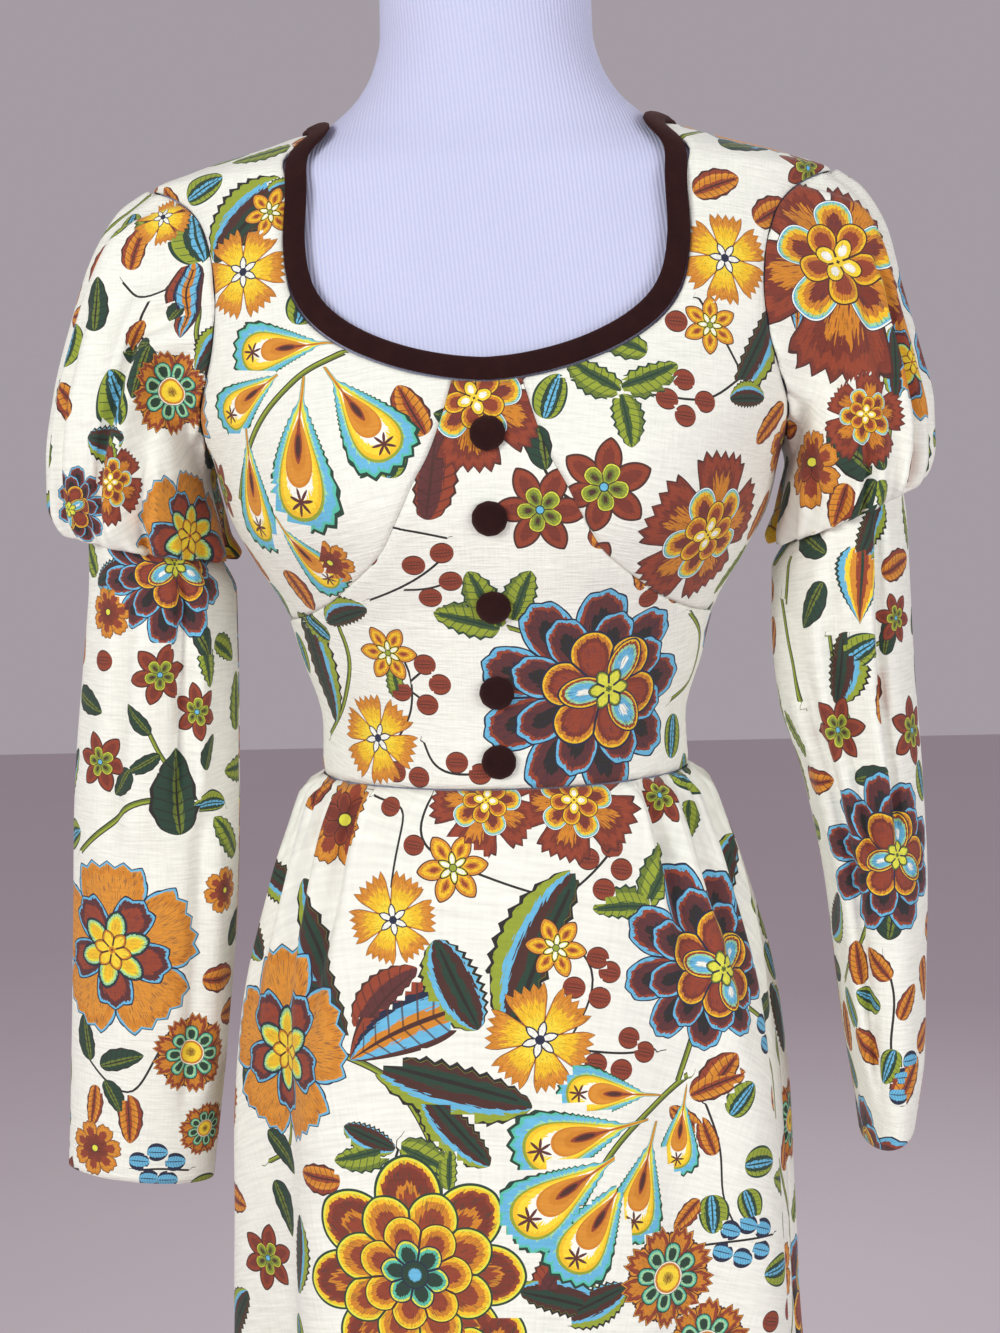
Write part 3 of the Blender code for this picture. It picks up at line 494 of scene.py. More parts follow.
FLOWERS = {
    "plume": (
        Petals(1, 0, -1.0, 1.0, 0.80, 0.58, 3.0, 2.0,
               {0: LEMON, 0.40: MINT, 0.52: SKY, 0.78: TEAL, 0.87: DARK_GREEN}, teeth=15,
               tooth=0.08),
        Petals(1, 0, -1.0, 0.80, 0.52, 0.60, 2.6, 2.0,
               {0: WHITE, 0.44: YELLOW, 0.72: GOLD, 0.88: LIME}),
        Petals(1, 0, -1.0, 0.42, 0.33, 0.50, 2.4, 2.0,
               {0: RUST, 0.12: AMBER, 0.50: ORANGE, 0.86: AMBER}),
        Petals(1, 0, -0.24, 0.16, 0.055, 0, 2, 1.5, {0: BROWN, 0.5: RUST}),
        Petals(7, 10, 0.0, 0.17, 0.020, 0, 2, 1.6, {0: MAROON}, shift=0.58),
    ),
    "carnation": (
        Petals(6, 12, 0.02, 1.0, 0.47, 0.86, 7, 4,
               {0: YELLOW, 0.40: GOLD, 0.62: ORANGE, 0.74: AMBER, 0.86: BROWN}, teeth=3,
               tooth=0.15, outward=0.85),
        Petals(6, 42, 0.0, 0.36, 0.085, 0, 2, 1.2, {0: WHITE, 0.62: NAVY}),
        heart(0.09, {0: NAVY}),
    ),
    "star": (
        Petals(6, 0, 0.05, 1.0, 0.31, 0.2, 1.8, 1.4,
               {0: RUST, 0.10: AMBER, 0.24: GOLD, 0.55: ORANGE, 0.84: BROWN}),
        Petals(6, 30, 0.0, 0.46, 0.11, 0, 2, 1.4, {0: WHITE, 0.4: LEMON, 0.62: INK}),
        heart(0.12, {0: LIME, 0.6: INK}),
    ),
    "lotus": (
        Petals(9, 0, 0.25, 1.0, 0.27, 0.4, 2.4, 1.9,
               {0: INK, 0.16: MAROON, 0.52: RUST, 0.68: SKY, 0.90: NAVY}, teeth=2, tooth=0.03),
        Petals(8, 20, 0.15, 0.78, 0.23, 0.4, 2.2, 1.8,
               {0: INK, 0.20: MAROON, 0.56: RUST, 0.72: SKY, 0.90: NAVY}, teeth=2, tooth=0.03,
               shift=0.05),
        Petals(6, 15, 0.05, 0.58, 0.24, 0.3, 2.2, 1.9,
               {0: RUST, 0.30: BRICK, 0.50: AMBER, 0.70: GOLD, 0.84: NAVY}, shift=0.14),
        Petals(3, 60, 0.02, 0.50, 0.15, 0, 2, 1.8,
               {0: WHITE, 0.07: SKY, 0.36: MINT, 0.52: RUST, 0.72: GOLD, 0.86: NAVY}, shift=0.22),
        Petals(6, 0, 0.0, 0.20, 0.07, 0, 2, 1.6, {0: LEMON, 0.55: OLIVE, 0.85: NAVY}, shift=0.20),
    ),
    "scallop": (
        Petals(5, 18, 0.1, 1.0, 0.58, 0.6, 3.2, 3,
               {0: ORANGE, 0.35: AMBER, 0.66: ORANGE, 0.80: SKY, 0.92: NAVY}, teeth=3, tooth=0.07),
        Petals(5, 54, 0.08, 0.70, 0.30, 0.5, 2.4, 2,
               {0: RUST, 0.35: MAROON, 0.70: SKY, 0.88: NAVY}, teeth=2, tooth=0.08),
        Petals(6, 20, 0.04, 0.46, 0.15, 0.2, 2, 1.5,
               {0: GOLD, 0.30: LEMON, 0.50: MINT, 0.70: DARK_GREEN, 0.85: NAVY}),
        Petals(6, 50, 0.0, 0.24, 0.08, 0, 2, 1.6, {0: YELLOW, 0.5: AMBER, 0.8: BROWN}),
    ),
    "layered": (
        Petals(8, 0, 0.15, 1.0, 0.33, 0.4, 2.2, 1.7,
               {0: RUST, 0.12: AMBER, 0.22: BRICK, 0.55: RUST, 0.68: GOLD, 0.80: LEMON,
               0.89: DARK_GREEN}),
        Petals(8, 22, 0.1, 0.74, 0.26, 0.4, 2.2, 1.7,
               {0: RUST, 0.30: AMBER, 0.58: GOLD, 0.78: LEMON, 0.88: DARK_GREEN}),
        Petals(7, 0, 0.05, 0.52, 0.20, 0.3, 2.2, 1.8,
               {0: RUST, 0.26: AMBER, 0.52: GOLD, 0.80: LEMON, 0.88: BROWN}),
        Petals(6, 15, 0.02, 0.32, 0.13, 0.2, 2, 1.7,
               {0: DARK_GREEN, 0.35: TEAL, 0.62: LEMON, 0.82: NAVY}),
        heart(0.13, {0: SKY, 0.2: DARK_GREEN, 0.8: NAVY}),
    ),
    "rosette": (
        Petals(9, 0, 0.35, 1.0, 0.32, 0.5, 3, 2.4,
               {0: AMBER, 0.18: RUST, 0.48: BRICK, 0.62: ORANGE, 0.84: BROWN}, teeth=2,
               tooth=0.13),
        Petals(8, 0, 0.22, 0.66, 0.19, 0.4, 2.4, 2.2,
               {0: DARK_GREEN, 0.22: MINT, 0.52: TEAL, 0.74: DARK_GREEN}),
        heart(0.32, {0: BROWN, 0.02: GOLD, 0.06: BROWN, 0.10: YELLOW, 0.55: AMBER, 0.80: WHITE,
                    0.92: BROWN}),
    ),
    "burgundy": (
        Petals(5, 8, 0.1, 1.0, 0.54, 0.7, 3.4, 3,
               {0: AMBER, 0.05: BRICK, 0.20: RUST, 0.62: BRICK, 0.86: BROWN}, teeth=4, tooth=0.10),
        Petals(5, 44, 0.06, 0.64, 0.25, 0.5, 2.4, 2.2,
               {0: BRICK, 0.14: AMBER, 0.36: GOLD, 0.60: MINT, 0.74: SKY, 0.84: WHITE,
               0.93: NAVY}),
        Petals(5, 8, 0.04, 0.42, 0.17, 0.3, 2.2, 2,
               {0: RUST, 0.28: AMBER, 0.60: GOLD, 0.84: BROWN}),
        Petals(4, 0, 0.0, 0.24, 0.085, 0, 2, 2, {0: WHITE, 0.22: YELLOW, 0.78: BROWN}),
    ),
    "rust star": (
        Petals(6, 10, 0.05, 1.0, 0.29, 0.1, 2, 1.3, {0: BRICK, 0.35: RUST, 0.80: BROWN}),
        Petals(5, 40, 0.0, 0.50, 0.21, 0.4, 2.4, 2.2,
               {0: BROWN, 0.06: OLIVE, 0.20: LIME, 0.64: LEMON, 0.82: BROWN}),
        heart(0.10, {0: SKY, 0.55: DARK_GREEN}),
    ),
    "daisy": (
        Petals(7, 0, 0.05, 1.0, 0.42, 0.7, 3, 2.6,
               {0: RUST, 0.16: ORANGE, 0.50: AMBER, 0.84: BROWN}, teeth=2, tooth=0.07),
        Petals(7, 25, 0.0, 0.52, 0.16, 0.3, 2, 1.8, {0: BRICK, 0.5: RUST, 0.8: BROWN}),
        heart(0.14, {0: LEMON, 0.6: BROWN}),
    ),
}


def stepped(tree, field, colours):
    """Flat bands of colour: each holds from its number up to the next."""
    node = tree.nodes.new("ShaderNodeValToRGB")
    bands = node.color_ramp
    bands.interpolation = "CONSTANT"
    bands.elements.remove(bands.elements[-1])
    bands.elements[0].position = min(colours)
    bands.elements[0].color = colours[min(colours)]
    for start in sorted(colours)[1:]:
        bands.elements.new(start).color = colours[start]
    feed(tree, node.inputs[0], field)
    return node.outputs[0]


def print_petals(tree, x, y, ring, under):
    """Lays one ring of petals over the colour below it."""
    sector = pi / ring.count
    x = x - ring.shift
    reach = (x * x + y * y) ** 0.5
    bearing = x.worked("ARCTAN2", y, x)
    away = (bearing + radians(ring.turn)).folded(sector)
    if ring.tooth:
        point = (away * (ring.teeth / sector)).folded(0.5) * 2
        reach = reach * (point * ring.tooth + 1)
    along, out = reach * away.worked("COSINE", away), reach * away.worked("SINE", away)
    middle, half = (ring.end + ring.start) / 2, (ring.end - ring.start) / 2
    breadth = ((along / ring.end) * ring.flare + (1 - ring.flare)).at_least(0.05) * ring.breadth
    petal = abs((along - middle) / half) ** ring.tip + (out / breadth) ** ring.side
    strokes = noise(tree, bearing * 26, reach * 5, detail=1) - 0.5
    inner = petal.below(PETAL_RIM)
    hatched = petal + strokes * PETAL_STROKES * inner
    if ring.outward:
        graded = reach * ring.outward + strokes * 0.4
        hatched = hatched.at_least(graded.at_most(0.84))
    colour = stepped(tree, hatched, ring.colours)
    if ring.count > 1:
        outline = ring.colours[max(ring.colours)]
        pen = noise(tree, bearing * 70, reach * 9, detail=0).over(PEN_FROM) * inner
        parting = (reach * (sector - away)).below(PARTING) * reach.over(0.05)
        colour = mixed(tree, pen * 0.5, colour, outline)
        colour = mixed(tree, parting, colour, outline)
    return mixed(tree, petal.below(1.0), under, colour)


def print_stems(tree):
    """Bare cloth with the stems: thick ones green with inked sides, thin ones all ink."""
    run, side = on_map(tree, "stem")
    thick = 1 - run.over(THIN_STEM - 0.5)
    green = abs(side).below(0.62) * thick
    colour = mixed(tree, green, CREAM, mixed(tree, side.over(0.05), LIME, OLIVE))
    return mixed(tree, (1 - green) * abs(side).below(1.0), colour, INK)


def print_leaves(tree, under):
    """The leaves: banded colours from the vein to a toothed edge, fine strokes and ribs."""
    x, y = on_map(tree, "leaf")
    shapes = []
    for name in ("leaf form", "leaf edge"):
        node = tree.nodes.new("ShaderNodeAttribute")
        node.attribute_name = name
        shapes += parted(tree, node.outputs["Vector"])
    number, skew, fullness, bend, teeth, tooth = shapes
    run = x.at_least(0.0001).at_most(0.9999)
    bow = run * (1 - run) * 4
    lean = run ** skew
    profile = (lean * (1 - lean) * 4).at_least(0.0002) ** fullness
    side = (y - bow * bend) / profile.at_least(0.02)
    hollow = bend * 1.1
    from_vein = abs(side + hollow) / (abs(hollow) + 1)
    point = (run * teeth + abs(side) * 0.6).folded(0.5) * 2
    edge = abs(side) * (point * tooth + 1)
    strokes = noise(tree, x * 9, y * 18, detail=1) - 0.5
    hatched = from_vein + strokes * LEAF_STROKES * edge.below(LEAF_RIM)
    hatched = hatched.at_least(edge * edge.over(0.86))
    parts = zip(*[colours for colours, _ in LEAVES.values()])
    bands = [
        stepped(tree, (number + 0.5) / len(LEAVES),
                {k / len(LEAVES): colour for k, colour in enumerate(part)})
        for part in parts]
    colour, outline = bands[0], bands[-1]
    for start, band in zip(LEAF_BANDS, bands[1:]):
        colour = mixed(tree, hatched.over(start), colour, band)
    ribs = (run * 8 - from_vein * 1.2).folded(0.5).below(0.07) * from_vein.below(LEAF_RIM)
    ribs = ribs * teeth.below(9)
    colour = mixed(tree, ribs * 0.75, colour, outline)
    colour = mixed(tree, from_vein.below(0.05) * run.below(0.9), colour, outline)
    return mixed(tree, edge.below(1.0) * (x.over(0.0) * x.below(1.0)), under, colour)


def print_ground():
    """The node group under every flower: bare cloth, then the stems, then the leaves."""
    tree = bpy.data.node_groups.new("stems and leaves", "ShaderNodeTree")
    tree.interface.new_socket("Colour", in_out="OUTPUT", socket_type="NodeSocketColor")
    colour = print_leaves(tree, print_stems(tree))
    feed(tree, tree.nodes.new("NodeGroupOutput").inputs[0], colour)
    return tree


def weave(tree, shader, printed, slub_shade):
    """The linen's slub weave over its print: uneven cross threads and fainter upright ones, with
    painted shade where they lie low.
    """
    u, v = on_map(tree, "cloth")
    cross = noise(tree, u * 75, v / THREAD)
    upright = noise(tree, u / THREAD, v * 60, detail=1)
    slubs = noise(tree, u * 22, v * 300)
    threads = cross * 0.72 + upright * 0.28
    # painted shade: the print is darkened where the threads lie low, by the field that raises the
    # bump; the slubs add a little uneven tone
    shade = (threads - 0.5) * slub_shade + (slubs - 0.5) * 0.10 + 0.965
    grey = tree.nodes.new("ShaderNodeCombineColor")
    for socket in grey.inputs:
        feed(tree, socket, shade)
    weave_shaded_print = mixed(tree, 1.0, printed, grey.outputs[0], way="MULTIPLY")
    coloured(tree, shader, weave_shaded_print, threads + slubs * 0.5, LINEN_BUMP)


def printed_linen(name, rings):
    """The cloth as it is where one kind of flower lies, or where none does."""
    material, tree, shader = new_finish(
        f"printed linen, {name}", Roughness=0.86, Sheen_Weight=0.12)
    group = tree.nodes.new("ShaderNodeGroup")
    group.node_tree = ground
    colour = group.outputs[0]
    x, y = on_map(tree, "bloom")
    for ring in rings:
        colour = print_petals(tree, x, y, ring, colour)
    weave(tree, shader, colour, slub_shade=0.46)
    return material


def wrong_side():
    """The cloth's inner side, where the print shows through only as a faint shadow."""
    material, tree, shader = new_finish("linen, wrong side", Roughness=0.9, Sheen_Weight=0.1)
    u, v = on_map(tree, "cloth")
    shadow = noise(tree, u * 26, v * 26, detail=3)
    colour = mixed(tree, shadow * 0.5, WRONG_SIDE, srgb(196, 176, 140))
    weave(tree, shader, colour, slub_shade=0.30)
    return material


ground = print_ground()
linens = [printed_linen("ground", ())]
linens += [printed_linen(name, rings) for name, rings in FLOWERS.items()]
linens.append(wrong_side())
FLOWER_SLOT = {name: number for number, name in enumerate(FLOWERS, start=1)}

# ---------------------------------------------------------------- the bodice
# Five panels of the printed linen: a V-shaped centre front that widens under the bust to the whole
# midriff, a cup at each side that runs up over the bust to the shoulder, and two back panels.
# They are sewn edge to edge with the allowances turned in, so each edge dips where it is sewn.
SEAM_GAP = 0.00006       # half the clearance between two sewn edges
SEAM_DIP, SEAM_ROLL = 0.0011, 0.0022     # how far an edge turns in, and over what width
PUCKER, PUCKER_PITCH, PUCKER_REACH = 0.00028, 0.0085, 0.007
UNEVENNESS = 0.00035     # how far the cloth rises and falls over a hand's breadth
WALL = 0.0014
BOTTOM, TOP, FIRST, LAST = range(4)      # a sheet's edges: its end rows and its end columns
WAIST, V_CORNER, CUP_SIDE, ARMPIT = 1.056, 1.1590, 1.142, 1.236
SHOULDER_TIP, NECK_POINT = 1.385, 1.4135
ARMHOLE_FRONT, ARMHOLE_BACK = 24.0, 22.0

# The neckline and the cup's seam, as the distance from the middle and the height.
NECK_FRONT = (
    (0.0000, 1.2729), (0.0180, 1.2744), (0.0370, 1.2780), (0.0570, 1.2843), (0.0760, 1.2930),
    (0.0925, 1.3050), (0.1025, 1.3190), (0.1065, 1.3350), (0.1078, 1.3620), (0.1072, 1.3850),
    (0.1055, 1.4010),
)
NECK_BACK = (
    (0.1015, 1.4055), (0.0945, 1.3955), (0.0800, 1.3850), (0.0550, 1.3770), (0.0280, 1.3735),
    (0.0000, 1.3725),
)
CUP_SEAM = (
    (0.0180, 1.2744), (0.0238, 1.2550), (0.0303, 1.2370), (0.0390, 1.2210), (0.0468, 1.2045),
    (0.0575, 1.1850), (0.0680, 1.1745), (0.0860, V_CORNER),
)
CUP_SEAM_OUT = ((0.0860, V_CORNER), (0.0965, 1.1530), (0.1085, 1.1475))

CENTRE_COLUMNS, SEAM_STEPS, OUT_STEPS = 72, 36, 40
SIDE_STEPS, ARMHOLE_STEPS = 18, 60
NECK_STEPS = SIDE_STEPS + ARMHOLE_STEPS - SEAM_STEPS
BACK_NECK_STEPS, BACK_SHOULDER_STEPS = 34, 20


def angle_at(across, height, behind=False):
    """The angle at which the body's section at this height has this half width."""
    angles = np.linspace(0, 90, 721)
    found = []
    for x, z in zip(np.atleast_1d(across), np.atleast_1d(height)):
        widths = section_points(BODY, 180 - angles if behind else angles, z)[:, 0]
        angle = np.interp(x, widths, angles)
        found.append(180 - angle if behind else angle)
    return np.array(found)


def evenly(track, count):
    """The track of (angle, height) points as count + 1 points, evenly spaced along the body."""
    track = np.asarray(track, float)
    knots = arc_lengths(body_points(track[:, 0], track[:, 1]), 0)
    dense = curve_through(knots, track, np.linspace(0, knots[-1], 12 * count + 1))
    travelled = arc_lengths(body_points(dense[:, 0], dense[:, 1]), 0)
    places = np.linspace(0, travelled[-1], count + 1)
    return np.stack([np.interp(places, travelled, dense[:, k]) for k in (0, 1)], axis=1)


def track_of(rows, behind=False):
    """A table of (half width, height) as a track of (angle, height)."""
    rows = np.array(rows)
    return np.stack([angle_at(rows[:, 0], rows[:, 1], behind), rows[:, 1]], axis=1)


def between(first, last, count):
    """A straight track of (angle, height) points."""
    return np.linspace(first, last, count + 1)


def armhole(turn, swing):
    """(angle, height) round the armhole, from the shoulder tip at 0 to the armpit at pi."""
    middle, half = (SHOULDER_TIP + ARMPIT) / 2, (SHOULDER_TIP - ARMPIT) / 2
    return np.stack([90 + swing * np.abs(np.sin(turn)), middle + half * np.cos(turn)], axis=-1)


def patch(low, top, inner, outer):
    """A sheet of (angle, height) points that fills the space between its four edges."""
    u = np.linspace(0, 1, len(low))[None, :, None]
    v = np.linspace(0, 1, len(inner))[:, None, None]
    corners = (
        (1 - u) * (1 - v) * low[0] + u * (1 - v) * low[-1]
        + (1 - u) * v * top[0] + u * v * top[-1])
    return (
        (1 - u) * inner[:, None] + u * outer[:, None] + (1 - v) * low[None] + v * top[None]
        - corners)


seam_down = evenly(track_of(CUP_SEAM[::-1]), SEAM_STEPS)
seam_out = evenly(np.vstack([track_of(CUP_SEAM_OUT), [[90.0, CUP_SIDE]]]), OUT_STEPS)
neck_corner = tuple(seam_down[-1])
front_neck = track_of([row for row in NECK_FRONT if row[0] >= CUP_SEAM[0][0]])
front_neck[0] = neck_corner
neck_side = evenly(
    np.vstack([front_neck, [[69.0, NECK_POINT - 0.0035], [90.0, NECK_POINT]]]), NECK_STEPS)
neck_rear = evenly(
    np.vstack([[[90.0, NECK_POINT], [110.0, 1.4095]], track_of(NECK_BACK, behind=True)]),
    BACK_NECK_STEPS)


def facing_of(points):
    """Unit normals of a sheet of points, out of the cloth's right side."""
    normals = np.cross(np.gradient(points, axis=1), np.gradient(points, axis=0))
    size = np.linalg.norm(normals, axis=-1, keepdims=True)
    return normals / np.maximum(size, 1e-12)


def draw_in(points, by, edges=(BOTTOM, TOP, FIRST, LAST)):
    """Moves a sheet's edges in along its own face, which leaves room for the seam."""
    views = (points, points[::-1], points.transpose(1, 0, 2),
             points[:, ::-1].transpose(1, 0, 2))
    for edge in edges:
        view = views[edge]
        tangent = np.gradient(view[0], axis=0)
        inward = view[1] - view[0]
        share = (inward * tangent).sum(1) / np.maximum((tangent * tangent).sum(1), 1e-12)
        inward -= share[:, None] * tangent
        size = np.maximum(np.linalg.norm(inward, axis=1, keepdims=True), 1e-9)
        view[0] += by * inward / size


def edge_distances(points):
    """How far each point lies from the sheet's bottom, top, first and last edge."""
    up, across = arc_lengths(points, 0), arc_lengths(points, 1)
    return up, up[-1] - up, across, across[:, -1:] - across


def sew(points, edges, sinking=1.0):
    """Turns the sewn edges in and puckers the cloth beside them, and gives it a soft unevenness."""
    facing = facing_of(points)
    up, down, across, back = edge_distances(points)
    move = np.zeros(up.shape)
    for edge in edges:
        distance = (up, down, across, back)[edge]
        along = across if edge in (BOTTOM, TOP) else up
        wave = np.sin(2 * pi * along / PUCKER_PITCH + 2.2 * np.sin(along * 61) + edge)
        move -= sinking * SEAM_DIP * bell(distance, SEAM_ROLL)
        move += PUCKER * wave * np.exp(-distance / PUCKER_REACH) * ramp(distance, 0, 0.002)
    soft = np.sin(across * 71 + up * 23 + 1.3) * np.sin(up * 57 - across * 19)
    move += UNEVENNESS * soft
    return points + facing * move[..., None]


def mirrored(points):
    """The same sheet on the other side of the body, still facing out."""
    other = points[:, ::-1].copy()
    other[..., 0] *= -1
    return other


Panel = namedtuple("Panel", "piece node flat places centres scales tree held cut rests_on")
panels = {}


def unwrapped(piece):
    """Where each point of the sheet lies once it is laid flat, at any scale and turn."""
    piece.data.uv_layers.new(name="cloth")
    edit(piece)
    bpy.ops.uv.unwrap(method="CONFORMAL", margin=0)
    bpy.ops.object.mode_set(mode="OBJECT")
    corners = corners_of(piece)
    spread = np.empty(2 * len(corners), np.float32)
    piece.data.uv_layers["cloth"].uv.foreach_get("vector", spread)
    flat = np.zeros((len(piece.data.vertices), 2))
    flat[corners] = spread.reshape(-1, 2)
    return flat


def grain_fitted(flat, points):
    """Turns and scales a flat cut so that it lies by the sheet's own lengths."""
    up, down, across, back = edge_distances(points)
    wanted = ((across - back) / 2 + 1j * (up - down) / 2).reshape(-1)
    laid = flat[:, 0] + 1j * flat[:, 1]
    middle, target = laid.mean(), wanted.mean()
    turn = ((wanted - target) * (laid - middle).conj()).sum() / (abs(laid - middle) ** 2).sum()
    fitted = (laid - middle) * turn + target
    return np.stack([fitted.real, fitted.imag], 1)


def cut_panel(name, node, points, held, cut, rests_on="jersey_form"):
    """Makes one panel as an open sheet and notes how it lies flat, and at what scale where.

    The cut is the flat piece's width, length and area; it is kept with the panel but not used.
    """
    piece = grid_through(name, points)
    flat = grain_fitted(unwrapped(piece), points)
    shape = piece.data
    tree = BVHTree.FromPolygons(
        [v.co.copy() for v in shape.vertices], [tuple(f.vertices) for f in shape.polygons])
    places = flat[corners_of(piece)]
    quads = places.reshape(-1, 4, 2)
    one, other = quads[:, 2] - quads[:, 0], quads[:, 3] - quads[:, 1]
    flat_areas = np.abs(one[:, 0] * other[:, 1] - one[:, 1] * other[:, 0]) / 2
    scales = np.sqrt(flat_areas / np.array([face.area for face in shape.polygons]))
    panels[name] = Panel(
        piece, node, flat, places, quads.mean(axis=1), scales, tree, held, cut, rests_on)


def bodice_panels():
    """The centre front, then the cup and the back of each side."""
    dip = NECK_FRONT[1][1] - NECK_FRONT[0][1]
    side = np.vstack([
        between((90.0, WAIST), (90.0, CUP_SIDE), 24)[:-1], seam_out[::-3][:-1], seam_down])
    centre = np.array([
        between((-angle, height), (angle, height), CENTRE_COLUMNS) for angle, height in side])
    spread = 1 - np.linspace(-1, 1, CENTRE_COLUMNS + 1) ** 2
    for row in range(8):
        centre[-1 - row, :, 1] -= (1 - row / 8) * dip * spread
    points = body_points(centre[..., 0], centre[..., 1])
    draw_in(points, SEAM_GAP)
    cut_panel("centre_front", "bodice_centre_front", sew(points, (BOTTOM, FIRST, LAST)), "stretched",
              (0.37, 0.27, 0.044))

    climb = np.linspace(pi, 0, ARMHOLE_STEPS + 1)
    inner = np.vstack([seam_down[:-1], neck_side])
    outer = np.vstack([
        between((90.0, CUP_SIDE), (90.0, ARMPIT), SIDE_STEPS)[:-1],
        armhole(climb, -ARMHOLE_FRONT)])
    top = between((90.0, NECK_POINT), (90.0, SHOULDER_TIP), OUT_STEPS)
    cup = patch(seam_out, top, inner, outer)

    steps = BACK_SHOULDER_STEPS + BACK_NECK_STEPS
    shoulder = between((90.0, SHOULDER_TIP), (90.0, NECK_POINT), BACK_SHOULDER_STEPS)
    inner = np.vstack([
        between((90.0, WAIST), (90.0, ARMPIT), 44)[:-1], armhole(climb, ARMHOLE_BACK)])
    low = between((90.0, WAIST), (180.0, WAIST), steps)
    top = np.vstack([shoulder[:-1], neck_rear])
    outer = between((180.0, WAIST), tuple(neck_rear[-1]), len(inner) - 1)
    back = patch(low, top, inner, outer)

    for name, sheet, cut in (("cup", cup, (0.24, 0.38, 0.034)),
                             ("back", back, (0.23, 0.44, 0.068))):
        points = body_points(sheet[..., 0], sheet[..., 1])
        draw_in(points, SEAM_GAP)
        points = sew(points, (BOTTOM, TOP, FIRST, LAST))
        for side, laid in (("right", points), ("left", mirrored(points))):
            cut_panel(f"{side}_{name}", f"bodice_{name}_{side}", laid, "stretched", cut)


bodice_panels()

# ---------------------------------------------------------------- the skirt
# A front and a back panel, gathered into the waist seam at both sides and round the back, smooth
# over the stomach. The gathers open into soft folds that run down to the hem.
HEM, HEM_TURN = 0.056, 0.035

SKIRT = (
    (0.056, 0.2360, 0.1880, 0.1880, 2.00),
    (0.200, 0.2190, 0.1740, 0.1750, 2.00),
    (0.400, 0.1960, 0.1550, 0.1580, 2.05),
    (0.600, 0.1740, 0.1340, 0.1430, 2.10),
    (0.723, 0.1635, 0.1220, 0.1350, 2.15),
    (0.822, 0.1600, 0.1150, 0.1310, 2.20),
    (0.865, 0.1575, 0.1120, 0.1290, 2.20),
    (0.934, 0.1485, 0.1060, 0.1220, 2.20),
    (0.993, 0.1330, 0.0985, 0.1065, 2.10),
    (1.031, 0.1190, 0.0920, 0.0965, 2.05),
    (1.046, 0.1130, 0.0878, 0.0915, 2.00),
    (1.056, 0.1054, 0.0839, 0.0814, 2.00),
)
# Each gather's angle, its height over the cloth and the height where it has died away.
GATHERS = (
    (48.5, 0.0044, 0.900), (53.5, -0.0070, 0.870), (59.0, 0.0070, 0.840),
    (64.0, -0.0045, 0.900), (70.0, 0.0060, 0.840), (76.5, -0.0040, 0.860),
    (83.0, 0.0055, 0.820), (90.0, -0.0040, 0.880), (97.0, 0.0055, 0.840),
    (104.0, -0.0040, 0.900), (111.0, 0.0050, 0.830), (118.0, -0.0040, 0.880),
    (125.0, 0.0050, 0.850), (132.0, -0.0035, 0.900), (139.0, 0.0045, 0.880),
    (147.0, -0.0030, 0.910), (155.0, 0.0035, 0.900),
)
GATHER_WIDTH = 2.5
FOLD_RELIEF = 2.0        # how much sharper the cloth folds at the hips than the solid does
# The small pleats at the waist: their depth, where they start and how close they are.
FINE_GATHER, FINE_FROM, FINE_PITCH = 0.0021, (42, 50), radians(84)
# Each fold's angle at the waist and the hem, its height at the hips and the hem, and its width.
FOLDS = (
    (-52, -40, 0.0050, 0.0120, 9.0), (-64, -58, -0.0070, -0.0120, 8.0),
    (-78, -76, 0.0040, 0.0110, 9.0), (59, 66, 0.0060, 0.0120, 9.0),
    (49, 50, -0.0050, -0.0120, 8.0), (80, 84, -0.0040, 0.0180, 7.0),
    (74, 75, 0.0000, -0.0070, 4.5), (94, 95, 0.0000, -0.0070, 4.5),
    (-12, -14, 0.0000, 0.0070, 13.0), (16, 19, 0.0000, -0.0070, 12.0),
    (-100, -104, -0.0040, -0.0110, 9.0), (-120, -123, 0.0045, 0.0120, 9.0),
    (-142, -144, -0.0030, -0.0100, 9.0), (-163, -165, 0.0020, 0.0090, 11.0),
    (103, 106, 0.0040, 0.0120, 9.0), (122, 126, -0.0040, -0.0110, 9.0),
    (143, 147, 0.0030, 0.0110, 9.0), (166, 170, -0.0020, -0.0090, 11.0),
)


def skirt_points(angle, height):
    """The skirt's outer face with its gathers and folds."""
    points = section_points(SKIRT, angle, height)
    stands = np.zeros(angle.shape)
    round_side = np.abs(angle)
    below_waist = ramp(WAIST - height, 0.0, 0.010)
    for middle, depth, fades in GATHERS:
        stands += depth * bell(round_side - middle, GATHER_WIDTH) * (
            ramp(height, fades, WAIST - 0.02) * below_waist)
    drop = (WAIST - height) / (WAIST - HEM)
    relief = FOLD_RELIEF - ramp(drop, 0.3, 0.8) * (FOLD_RELIEF - 1)
    for angle_top, angle_hem, hip, hem, width in FOLDS:
        middle = angle_top + (angle_hem - angle_top) * drop
        size = hip + (hem - hip) * ramp(drop, 0.25, 1.0)
        away = (angle - middle + 180) % 360 - 180
        stands += relief * size * bell(away, width) * ramp(drop, 0.03, 0.20)
    small = np.sin(FINE_PITCH * round_side + 1.4 * np.sin(round_side * 0.21))
    small = (1 - 2 * np.abs(small)) * ramp(round_side, *FINE_FROM)
    stands += FINE_GATHER * small * ramp(height, WAIST - 0.085, WAIST - 0.004) * below_waist
    points[..., 0] += stands * np.sin(np.radians(angle))
    points[..., 1] -= stands * np.cos(np.radians(angle))
    return points


